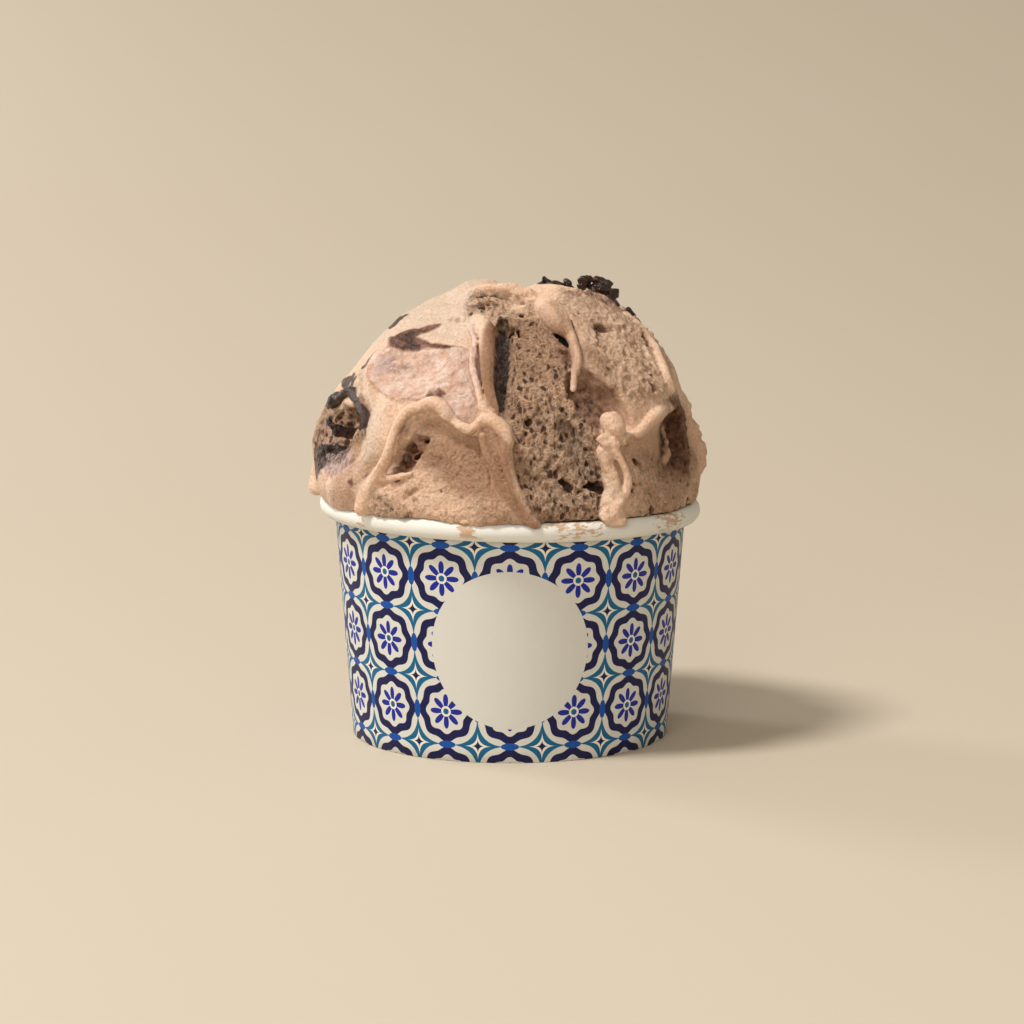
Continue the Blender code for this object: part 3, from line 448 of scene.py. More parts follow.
class Sculpt:
    """Points in small cubes of space, each with its distance to the surface modelled so far."""

    def __init__(self, centres, offsets, half):
        self.centres, self.half = centres.astype(np.float32), half
        self.fixed = (centres[:, None] + offsets).astype(np.float32)
        self.points = self.fixed + sway(self.fixed)
        self.wavy = self.points + wobble(self.points)
        self.distance = np.full(self.points.shape[:2], 1e3, np.float32)
        self.marks = {}
        out = self.points - BALL
        self.turn = np.degrees(np.arctan2(out[..., 0], -out[..., 1]))
        self.rise = np.degrees(np.arctan2(out[..., 2], np.hypot(out[..., 0], out[..., 1])))

    def near(self, low, high):
        """Which cubes reach into a box."""
        margin = self.half + 1.2
        return np.flatnonzero(((self.centres > np.array(low) - margin)
                               & (self.centres < np.array(high) + margin)).all(1))

    def near_path(self, path, reach):
        """Which cubes come within reach of a path."""
        cubes = self.near(path[:, :3].min(0) - reach, path[:, :3].max(0) + reach)
        middle = self.centres[cubes]
        gap = np.full(len(cubes), 1e9, np.float32)
        for start, end in zip(path[:, :3], path[1:, :3]):
            gap = np.minimum(gap, gap_to_segment(middle, start, end)[0])
        return cubes[gap < reach + 1.8 * self.half + 1.2]

    def mark(self, name, cubes, value):
        """Keeps the largest value of a mark at each point."""
        old = self.marks.setdefault(name, np.zeros(self.distance.shape, np.float32))
        old[cubes] = np.maximum(old[cubes], value)

    def fade(self, name, cubes, share):
        """Lets what is laid over a mark hide it."""
        if name in self.marks:
            self.marks[name][cubes] *= 1 - share

    def add(self, cubes, distance, blend):
        """Lays a shape on, and returns how much of each point it now makes."""
        old = self.distance[cubes]
        share = np.clip(0.5 + 0.5 * (old - distance) / blend, 0, 1)
        self.distance[cubes] = old * (1 - share) + distance * share - blend * share * (1 - share)
        return share

    def remove(self, cubes, distance, blend):
        """Cuts a shape out, and returns how much of each point it now makes."""
        old = self.distance[cubes]
        share = np.clip(0.5 + 0.5 * (old + distance) / blend, 0, 1)
        self.distance[cubes] = old * share - distance * (1 - share) + blend * share * (1 - share)
        return 1 - share

    def slab(self, turn, rise, lift, half_width, half_height, half_depth, roll=0.0):
        """Distance to an ellipsoid that faces outwards at a place on the ball."""
        centre = place(turn, rise, lift)
        reach = max(half_width, half_height, half_depth) + 6
        cubes = self.near(centre - reach, centre + reach)
        across, along = along_surface(turn, rise, roll), along_surface(turn, rise, roll + 90)
        where = self.points[cubes] - centre
        near = far = 0
        for way, half in ((across, half_width), (way_out(turn, rise), half_depth), (along, half_height)):
            run = where @ way
            near = near + (run / half) ** 2
            far = far + (run / half**2) ** 2
        near = np.sqrt(near)
        return cubes, near * (near - 1) / np.maximum(np.sqrt(far), 1e-6)

    def ridge(self, rows, wobbly=True):
        """Distance to a round ridge along a path given in x, y, z and radius."""
        path = smooth_path(rows)
        cubes = self.near_path(path, path[:, 3].max() + 2.5)
        where = (self.wavy if wobbly else self.points)[cubes]
        best = np.full(where.shape[:-1], 1e3, np.float32)
        for start, end in zip(path, path[1:]):
            gap, t = gap_to_segment(where, start[:3], end[:3])
            best = np.minimum(best, gap - (start[3] + t * (end[3] - start[3])))
        return cubes, best

    def bank(self, left, right, rows):
        """Height of a lip along a path on the ball that falls away by its own measure on each side."""
        path = smooth_path([(*place(turn, rise), height) for turn, rise, height in rows])
        cubes = self.near_path(path, max(left, right) + 8)
        out = self.wavy[cubes] - BALL.astype(np.float32)
        size = np.sqrt(np.einsum("...i,...i", out, out))
        on_ball = BALL.astype(np.float32) + out * (BALL_RADIUS / size)[..., None]
        nearest, height = np.full(size.shape, 1e3, np.float32), np.zeros(size.shape, np.float32)
        for start, end in zip(path, path[1:]):
            gap, t = gap_to_segment(on_ball, start[:3], end[:3])
            side = (on_ball - start[:3].astype(np.float32)) @ np.cross(end[:3] - start[:3], start[:3] - BALL)
            share = gap / np.where(side > 0, right, left)
            here = (start[3] + t * (end[3] - start[3])) * np.clip(1 - share, 0, 1) ** 2
            closer = gap < nearest
            nearest = np.where(closer, gap, nearest)
            height = np.where(closer, here, height)
        return cubes, height * np.clip(1 - np.abs(size - BALL_RADIUS) / 14, 0, 1)


    def pit(self, depth, edge, outline):
        """Tears a pit with a ragged edge into the surface."""
        corners = np.array([place(*corner) for corner in outline])
        cubes = self.near(corners.min(0) - 4, corners.max(0) + 4)
        where = self.fixed[cubes]
        turn = self.turn[cubes] + 0.5 * lumps(where, 1.2, 71)
        share = outline_share(turn, self.rise[cubes] + 0.5 * lumps(where, 1.2, 72), outline, edge)
        self.distance[cubes] += share * depth * (1 + 0.6 * lumps(where, 1.3, 73))
        # Marks the torn pit so that the material darkens it, a painted shade in the pit.
        self.mark("bubble", cubes, 0.35 * share)


def wall_radius(z):
    """Outer radius of the cup's wall at a height."""
    return BASE_RADIUS + (WALL_TOP - BASE_RADIUS) * z / ROLL_Z


def finish_surface(sculpt, area, seed):
    """Lumps, drag marks and air bubbles over one area."""
    if area["outline"]:
        corners = np.array(area["outline"], float)
        points = np.array([place(turn, rise) for turn, rise in corners])
        cubes = sculpt.near(points.min(0) - 7, points.max(0) + 7)
        turn, rise = corners.mean(0)
        share = outline_share(sculpt.turn[cubes], sculpt.rise[cubes], area["outline"])
    else:
        cubes, turn, rise = np.arange(len(sculpt.centres)), 0, 30
        share = np.ones(sculpt.distance.shape, np.float32)
    live = (share > 0).any(1)
    cubes, share = cubes[live], share[live]
    where = sculpt.fixed[cubes]
    if "lumps" in area:
        size, height = area["lumps"]
        sculpt.distance[cubes] -= share * height * rough(where, size, seed)
    if "drag" in area:
        width, length, height, way = area["drag"]
        drawn = stretched(where, along_surface(turn, rise, way), length / width)
        sculpt.distance[cubes] -= share * height * rough(drawn, width, seed + 5)
    if "bubbles" in area:
        spacing, smallest, largest, stretch, way = area["bubbles"]
        drawn = stretched(where, along_surface(turn, rise, way), stretch)
        drawn = drawn + 0.35 * np.stack([lumps(drawn, 0.9, seed + 13), lumps(drawn, 0.9, seed + 14),
                                         lumps(drawn, 0.9, seed + 15)], -1)
        gap = bubble_gap(drawn, spacing, smallest, largest, seed + 9) + 1.2 * (1 - share)
        cut = sculpt.remove(cubes, gap, 0.25)
        # Marks where the bubbles cut in so that the material darkens them, a painted shade inside the bubbles.
        sculpt.mark("bubble", cubes, cut)
        sculpt.mark("porous", cubes, share * area.get("dark", 1))


def model_heap(sculpt):
    """The heaped gelato, down to just inside the cup."""
    whole = np.arange(len(sculpt.centres))
    sculpt.add(*sculpt.slab(0, 90, -BALL_RADIUS, 44.8, 44.2, 44.6), 0.01)
    for turn, rise, lift, half_width, half_height, half_depth, blend in SLABS.values():
        sculpt.add(*sculpt.slab(turn, rise, lift - half_depth, half_width, half_height, half_depth), blend)
    turns = np.linspace(0, 2 * math.pi, 25)
    skirt = [(SKIRT_RADIUS * math.sin(a), SKIRT_RADIUS * math.cos(a), SKIRT_HEIGHT, SKIRT_HALF_WIDTH)
             for a in turns]
    sculpt.add(*sculpt.ridge(skirt, False), 3)
    for turn, rise, lift, half_width, half_height, half_depth, roll, blend in HOLLOWS.values():
        hollow = sculpt.slab(turn, rise, lift + half_depth, half_width, half_height, half_depth, roll)
        sculpt.remove(*hollow, blend)
    for rows in STROKES.values():
        path = [(*place(*row, STROKE_RADIUS - STROKE_DEPTH), STROKE_RADIUS) for row in rows]
        sculpt.remove(*sculpt.ridge(path, False), 1.2)
    for left, right, rows in BANKS.values():
        cubes, height = sculpt.bank(left, right, rows)
        sculpt.distance[cubes] -= height
    for seed, area in enumerate(AREAS.values()):
        finish_surface(sculpt, area, 20 * seed + 1)
    for depth, edge, outline in PITS.values():
        sculpt.pit(depth, edge, outline)
    for rows in FURROWS.values():
        cubes, gap = sculpt.ridge([(*place(*row[:3]), row[3]) for row in rows])
        sculpt.fade("bubble", cubes, sculpt.remove(cubes, gap, 1))
    for name, rows in RIDGES.items():
        cubes, gap = sculpt.ridge([(*place(*row[:3]), row[3]) for row in rows])
        if name in CRUMBLY:
            gap += CRUMBLY[name] * (0.7 * lumps(sculpt.fixed[cubes], 1.5, 91) + 0.4 * lumps(sculpt.fixed[cubes], 0.9, 92))
        share = sculpt.add(cubes, gap, 0.6)
        sculpt.fade("bubble", cubes, share)
        sculpt.fade("porous", cubes, share)
        sculpt.mark("ridge", cubes, share)
    for half_width, rows in GROOVES.values():
        cubes, depth = sculpt.bank(half_width, half_width, rows)
        sculpt.distance[cubes] += depth
    out = np.hypot(sculpt.points[..., 0], sculpt.points[..., 1])
    z = sculpt.points[..., 2]
    sculpt.remove(whole, np.maximum(z - CUP_HEIGHT + RIM_TRIM, WALL_TOP - 2 - out), 2)
    inner = wall_radius(z) - 2 * BOARD - GAP
    sculpt.add(whole, np.maximum(out - inner, z - NECK_TOP), 1)
    out = np.hypot(sculpt.fixed[..., 0], sculpt.fixed[..., 1])
    z = sculpt.fixed[..., 2]
    roll = np.hypot((out - ROLL_RADIUS) / ROLL_HALF_WIDTH, (z - ROLL_Z) / ROLL_HALF_HEIGHT)
    sculpt.remove(whole, (roll - 1) * ROLL_HALF_WIDTH - GAP / 2, 0.1)
    sculpt.remove(whole, z - NECK_FLOOR, 0.1)


def surface(low, step, distance):
    """Points and four-sided faces of the surface, one point in each grid cell it runs through."""
    inside = distance < 0
    size = np.array(inside.shape)
    count = sum(inside[i:size[0] - 1 + i, j:size[1] - 1 + j, k:size[2] - 1 + k].astype(np.int8)
                for i, j, k in CORNERS)
    live = (count > 0) & (count < 8)
    cells = np.argwhere(live)
    number = np.full(size - 1, -1, np.int32)
    number[live] = np.arange(len(cells))
    value = np.stack([distance[tuple((cells + c).T)] for c in CORNERS], 1)
    total, hits = np.zeros((len(cells), 3)), np.zeros((len(cells), 1))
    for a, first in enumerate(CORNERS):
        for b, second in enumerate(CORNERS):
            side = np.subtract(second, first)
            if b < a or np.abs(side).sum() != 1:
                continue
            cross = (value[:, a] < 0) != (value[:, b] < 0)
            share = value[cross, a] / (value[cross, a] - value[cross, b])
            total[cross] += first + share[:, None] * side
            hits[cross] += 1
    points = np.array(low) + step * (cells + total / hits)
    faces = []
    for axis in range(3):
        here = [slice(1, -1)] * 3
        there = list(here)
        here[axis], there[axis] = slice(0, -1), slice(1, None)
        first, second = inside[tuple(here)], inside[tuple(there)]
        edges = np.argwhere(first != second)
        outward = first[tuple(edges.T)]
        edges += 1
        edges[:, axis] -= 1
        u, v = np.eye(3, dtype=int)[(axis + 1) % 3], np.eye(3, dtype=int)[(axis + 2) % 3]
        ring = np.stack([number[tuple((edges - s).T)] for s in (0 * u, u, u + v, v)], 1)
        ring[~outward] = ring[~outward][:, ::-1]
        faces.append(ring)
    return points, np.vstack(faces)


def close_pinches(distance, step):
    """Fills in where two corners of the form would meet only along a line."""
    for _ in range(9):
        inside = distance < 0
        pinched = np.zeros_like(inside)
        for u, v in ((0, 1), (1, 2), (0, 2)):
            square = []
            for i, j in ((0, 0), (1, 0), (0, 1), (1, 1)):
                part = [slice(None)] * 3
                part[u], part[v] = slice(i, i - 1 or None), slice(j, j - 1 or None)
                square.append(tuple(part))
            a, b, c, d = (inside[part] for part in square)
            crossed = (a == d) & (b == c) & (a != b)
            for part in square:
                pinched[part] |= crossed
        pinched &= ~inside
        if not pinched.any():
            return
        distance[pinched] = -step / 4


def largest_piece(points, faces):
    """Only the outer skin, without the bubbles that don't reach it."""
    label = np.arange(len(points))
    while True:
        least = label[faces].min(1)
        new = label.copy()
        np.minimum.at(new, faces.ravel(), np.repeat(least, faces.shape[1]))
        new = new[new]
        if (new == label).all():
            break
        label = new
    names, sizes = np.unique(label, return_counts=True)
    keep = label == names[sizes.argmax()]
    number = np.cumsum(keep) - 1
    return points[keep], number[faces[keep[faces[:, 0]]]]


def carve(low, high, step, model):
    """The surface that a modelling function makes, worked out coarsely and then closely near the surface."""
    wide = 3 * step
    axes = [np.arange(a, b + wide, wide) for a, b in zip(low, high)]
    shape = [len(axis) for axis in axes]
    coarse = np.stack(np.meshgrid(*axes, indexing="ij"), -1).reshape(-1, 3)
    first = Sculpt(coarse, np.zeros((1, 3)), 0)
    model(first)
    live = np.abs(first.distance[:, 0]) < 1.9 * wide
    offsets = step * np.array(AROUND)
    second = Sculpt(coarse[live], offsets, wide / 2)
    model(second)
    whole = np.repeat(np.sign(first.distance)[:, :1] * wide, 27, 1)
    whole[live] = second.distance
    distance = whole.reshape(*shape, 3, 3, 3).transpose(0, 3, 1, 4, 2, 5).reshape([3 * n for n in shape])
    distance = np.ascontiguousarray(distance)
    close_pinches(distance, step)
    return largest_piece(*surface(np.array([axis[0] for axis in axes]) - step, step, distance))


# ---- Meshes


def dip(points):
    """Tips the mouth of the cup a little to the right."""
    points = np.array(points, float)
    points[:, 2] *= 1 - MOUTH_DIP * points[:, 0]
    return points


def new_piece(name, points, faces, marks=None):
    """An object from points in millimetres, with its marks as attributes of its points."""
    mesh = bpy.data.meshes.new(name)
    mesh.from_pydata((dip(points) * MM).tolist(), [], faces.tolist() if hasattr(faces, "tolist") else faces)
    mesh.update()
    mesh.shade_smooth()
    for mark, value in (marks or {}).items():
        attribute = mesh.attributes.new(mark, "FLOAT", "POINT")
        attribute.data.foreach_set("value", np.asarray(value, np.float32).ravel())
    made = bpy.data.objects.new(name, mesh)
    bpy.context.scene.collection.objects.link(made)
    return made


def apply_modifiers(piece):
    """Swaps the piece's mesh for the one that its modifiers make."""
    graph = bpy.context.evaluated_depsgraph_get()
    made = bpy.data.meshes.new_from_object(piece.evaluated_get(graph))
    piece.modifiers.clear()
    piece.data = made


def thin(piece, triangles, keep=None):
    """Fewer triangles, taken first where the keep mark is low."""
    piece.data.calc_loop_triangles()
    count = len(piece.data.loop_triangles)
    if count <= triangles:
        return
    modifier = piece.modifiers.new("fewer faces", "DECIMATE")
    modifier.ratio = triangles / count
    modifier.use_collapse_triangulate = True
    if keep is not None:
        group = piece.vertex_groups.new(name="keep")
        for level in range(11):
            chosen = np.flatnonzero(np.round(keep * 10) == level)
            if level and len(chosen):
                group.add(chosen.tolist(), level / 10, "REPLACE")
        modifier.vertex_group = "keep"
        modifier.invert_vertex_group = True
        modifier.vertex_group_factor = 1.0
    apply_modifiers(piece)
    piece.vertex_groups.clear()


def fill_below(piece, rings):
    """Carries the open lower edge down through rings of height and radius, and closes the bottom."""
    mesh = bmesh.new()
    mesh.from_mesh(piece.data)
    edge = [e for e in mesh.edges if e.is_boundary]
    for z, radius in rings:
        made = bmesh.ops.extrude_edge_only(mesh, edges=edge)["geom"]
        edge = [e for e in made if isinstance(e, bmesh.types.BMEdge) and e.is_boundary]
        for point in {v for e in edge for v in e.verts}:
            turn = math.atan2(point.co.y, point.co.x)
            spot = dip([(radius * math.cos(turn), radius * math.sin(turn), z)])[0]
            point.co = spot * MM
    bmesh.ops.edgeloop_fill(mesh, edges=edge)
    bmesh.ops.recalc_face_normals(mesh, faces=mesh.faces)
    mesh.to_mesh(piece.data)
    mesh.free()
    piece.data.shade_smooth()


def undip(points):
    """Points as they were before the mouth was tipped."""
    points = np.array(points, float)
    points[:, 2] /= 1 - MOUTH_DIP * points[:, 0]
    return points


# ---- Materials


def hex_colour(code):
    """An sRGB hex colour as linear values with full alpha."""
    values = [int(code[i:i + 2], 16) / 255 for i in (1, 3, 5)]
    return (*(v / 12.92 if v <= 0.04045 else ((v + 0.055) / 1.055) ** 2.4 for v in values), 1.0)


def add(tree, kind, inputs=(), **settings):
    """A node with its settings. Each input takes a value, or a link from a socket or a node's first output."""
    made = tree.nodes.new(kind)
    for name, value in settings.items():
        setattr(made, name, value)
    for key, value in inputs.items() if isinstance(inputs, dict) else enumerate(inputs):
        if isinstance(value, bpy.types.Node):
            value = value.outputs[0]
        if isinstance(value, bpy.types.NodeSocket):
            tree.links.new(value, made.inputs[key])
        elif value is not None:
            made.inputs[key].default_value = value
    return made


def new_material(name):
    """An empty material, its tree, its shader and object coordinates in millimetres."""
    material = bpy.data.materials.new(name)
    material.use_nodes = True
    tree = material.node_tree
    shader = tree.nodes["Principled BSDF"]
    here = add(tree, "ShaderNodeTexCoord").outputs["Object"]
    here = add(tree, "ShaderNodeVectorMath", {0: here, "Scale": 1 / MM}, operation="SCALE").outputs[0]
    return material, tree, shader, here


def mix_colour(tree, share, first, second, blend="MIX"):
    """Two colours mixed by a share of the second."""
    colours = [hex_colour(c) if isinstance(c, str) else c for c in (first, second)]
    made = add(tree, "ShaderNodeMix", {0: share, 6: colours[0], 7: colours[1]}, data_type="RGBA", blend_type=blend)
    return made.outputs[2]


def pitted(tree, where, spacing, most):
    """1 in the middle of small pits scattered at about this spacing, 0 between them."""
    cells = add(tree, "ShaderNodeTexVoronoi", {"Vector": where, "Scale": 1 / spacing})
    chance = add(tree, "ShaderNodeSeparateColor", (cells.outputs["Color"],)).outputs[0]
    reach = add(tree, "ShaderNodeMapRange", (chance, 0.3, 1.0, -0.1, most))
    inside = add(tree, "ShaderNodeMath", (reach, cells.outputs["Distance"]), operation="SUBTRACT")
    return add(tree, "ShaderNodeMapRange", (inside, -0.02, 0.12)).outputs[0]


def gelato_material():
    """Chocolate gelato, churned dense and laid on with a cold steel spatula.

    It is a cream of fat, sugar and ice, so light goes a millimetre or two into it and its edges look soft.
    Where the blade pressed it, it is pale, smooth and wet; where it tore, it is darker, dull and full of air.
    """
    material, tree, shader, here = new_material("churned_chocolate_gelato")

    def maths(operation, *values):
        return add(tree, "ShaderNodeMath", values, operation=operation).outputs[0]

    def cloudy(size, detail=4.0, roughness=0.55, where=here):
        return add(tree, "ShaderNodeTexNoise", {"Vector": where, "Scale": 1 / size, "Detail": detail,
                                                "Roughness": roughness}).outputs[0]

    def ranged(value, *limits):
        return add(tree, "ShaderNodeMapRange", (value, *limits)).outputs[0]

    mark = {name: add(tree, "ShaderNodeAttribute", attribute_name=name).outputs["Fac"] for name in MARKS}
    drawn = add(tree, "ShaderNodeVectorMath", (here, (1.0, 1.0, 0.55)), operation="MULTIPLY").outputs[0]
    streaky = add(tree, "ShaderNodeVectorMath", (here, (1.0, 1.0, 0.12)), operation="MULTIPLY").outputs[0]
    grain = cloudy(0.75, 4.0, 0.65)
    crooked = add(tree, "ShaderNodeTexNoise", {"Vector": here, "Scale": 1 / 1.1, "Detail": 2.0}).outputs["Color"]
    drawn = add(tree, "ShaderNodeVectorMath", {0: crooked, 1: (1.1, 1.1, 1.1), 2: drawn}, operation="MULTIPLY_ADD")
    pits = maths("MAXIMUM", pitted(tree, drawn, 1.45, 0.52), maths("MULTIPLY", pitted(tree, drawn, 0.8, 0.42), 0.7))
    pits = maths("MULTIPLY", pits, ranged(mark["porous"], 0.1, 0.8))

    colour = mix_colour(tree, ranged(cloudy(6.0), 0.35, 0.65), "#d7b195", "#dfbea4")
    colour = mix_colour(tree, mark["porous"], colour, mix_colour(tree, cloudy(4.0), "#c8a180", "#d9b294"))
    colour = mix_colour(tree, mark["pale"], colour, "#cdb39d")
    # Brown: the gelato's darker melted tone in places, and painted shade under and below the arch, in the right scoop,
    # right of the curl, on the shaded side of the upright ridge and on the right leg.
    colour = mix_colour(tree, mark["brown"], colour, mix_colour(tree, cloudy(2.5), "#80593f", "#9c7455"))
    # The wet patch's own pinker tone, mottled towards pinkish white as a painted sheen.
    colour = mix_colour(tree, mark["wet"], colour, mix_colour(tree, ranged(cloudy(3.0), 0.3, 0.7), "#d2a68e", "#e6cdbf"))
    colour = mix_colour(tree, mark["mauve"], colour, "#cdb1aa")
    # Painted light and shade on the grain: the same noise raises the bump below, so the colour is lighter where the
    # grain stands up and darker where it sinks.
    shade = ranged(grain, 0.34, 0.66, 0.50, 1.34)
    shade = add(tree, "ShaderNodeMix", {0: ranged(mark["porous"], 0, 0.7, 0.4, 1.0), 2: 1.0, 3: shade}).outputs[0]
    shade = add(tree, "ShaderNodeMix", {0: maths("MULTIPLY", mark["wet"], 0.6), 2: shade, 3: 1.0}).outputs[0]
    colour = mix_colour(tree, 1.0, colour, shade, "MULTIPLY")
    # Painted shade inside the air bubbles and torn pits.
    colour = mix_colour(tree, maths("MULTIPLY", mark["bubble"], 0.7), colour, "#63402d")
    # Painted shade in the small pits that the bump below sinks.
    colour = mix_colour(tree, maths("MULTIPLY", pits, 0.95), colour, "#4a2c1c")
    spread = cloudy(2.2, 5.0, 0.62)
    # Caramel and chocolate: real streaks, strokes and stains, and also painted shade in the hollows, pits, holes,
    # pockets and creases.
    for name, softness, first, second in (("caramel_and_shade", 0.6, "#80513a", "#583320"),
                                          ("chocolate", 0.2, "#45291c", "#251510")):
        there = maths("GREATER_THAN", mark[name], 0.02)
        stain = ranged(maths("ADD", spread, mark[name]), 1.0 - softness / 2, 1.0 + softness / 2)
        tint = mix_colour(tree, ranged(cloudy(1.1), 0.35, 0.65), first, second)
        colour = mix_colour(tree, maths("MULTIPLY", stain, there), colour, tint)
    wisps = ranged(cloudy(0.7, 4.0, 0.6, streaky), 0.3, 0.7, -0.35, 0.35)
    smear = maths("MULTIPLY", ranged(maths("ADD", mark["smear"], wisps), 0.25, 0.75), ranged(mark["smear"], 0, 0.2))
    colour = mix_colour(tree, smear, colour, mix_colour(tree, ranged(cloudy(0.7, 4.0, 0.6, streaky), 0.36, 0.62), "#705d56", "#2c211d"))
    tree.links.new(colour, shader.inputs["Base Color"])

    dull = ranged(mark["porous"], 0, 1, 0.41, 0.62)
    slick = maths("MAXIMUM", maths("MULTIPLY", mark["wet"], 0.75), maths("MULTIPLY", mark["chocolate"], 0.8))
    gloss = add(tree, "ShaderNodeMix", {0: slick, 2: dull, 3: 0.22})
    tree.links.new(gloss.outputs[0], shader.inputs["Roughness"])
    shader.inputs["Subsurface Weight"].default_value = 0.3
    shader.inputs["Subsurface Radius"].default_value = (1.0, 0.6, 0.4)
    shader.inputs["Subsurface Scale"].default_value = 0.9 * MM
    shader.inputs["IOR"].default_value = 1.42

    relief = maths("MULTIPLY", grain, ranged(mark["porous"], 0, 0.7, 0.55, 2.8))
    relief = maths("SUBTRACT", relief, maths("MULTIPLY", pits, 1.2))
    crinkle = maths("MULTIPLY", cloudy(1.3, 5.0, 0.65), maths("MULTIPLY", mark["wet"], 1.3))
    bump = add(tree, "ShaderNodeBump", {"Height": maths("ADD", relief, crinkle), "Distance": MM, "Strength": 1.0})
    tree.links.new(bump.outputs[0], shader.inputs["Normal"])
    return material


def chocolate_material():
    """Dark couverture, poured through the cold gelato and snapped by the spatula.

    It sets almost black and glossy where it met the ice, and dull and brown where it broke.
    """
    material, tree, shader, here = new_material("snapped_dark_couverture")
    cloud = add(tree, "ShaderNodeTexNoise", {"Vector": here, "Scale": 1 / 1.6, "Detail": 5.0, "Roughness": 0.6})
    share = add(tree, "ShaderNodeMapRange", (cloud, 0.42, 0.7))
    tree.links.new(mix_colour(tree, share, "#1a0d08", "#45230f"), shader.inputs["Base Color"])
    tree.links.new(add(tree, "ShaderNodeMapRange", (cloud, 0.3, 0.7, 0.05, 0.22)).outputs[0],
                   shader.inputs["Roughness"])
    fine = add(tree, "ShaderNodeTexNoise", {"Vector": here, "Scale": 1 / 0.6, "Detail": 5.0, "Roughness": 0.65})
    bump = add(tree, "ShaderNodeBump", {"Height": fine, "Distance": 0.35 * MM, "Strength": 1.0})
    tree.links.new(bump.outputs[0], shader.inputs["Normal"])
    return material


def paper_material():
    """Plain bleached paperboard with a thin waterproof film, as inside the cup: off-white and a little silky."""
    material, tree, shader, here = new_material("coated_paperboard")
    fibre = add(tree, "ShaderNodeTexNoise", {"Vector": here, "Scale": 1 / 0.5, "Detail": 3.0})
    tree.links.new(mix_colour(tree, fibre, "#d9d7cf", "#e0ded6"), shader.inputs["Base Color"])
    shader.inputs["Roughness"].default_value = 0.5
    bump = add(tree, "ShaderNodeBump", {"Height": fibre, "Distance": 0.02 * MM, "Strength": 1.0})
    tree.links.new(bump.outputs[0], shader.inputs["Normal"])
    return material


TILES_ROUND = 16  # printed tiles round the cup
TILE = 16.4  # height of one printed tile, in millimetres
PANEL_HEIGHT = 28.0
PANEL_RADIUS = 19.5
MELTED = ((-12, 5), (20, 13), (55, 12), (-50, 3))  # where melted gelato was wiped off the rim: turn and half width


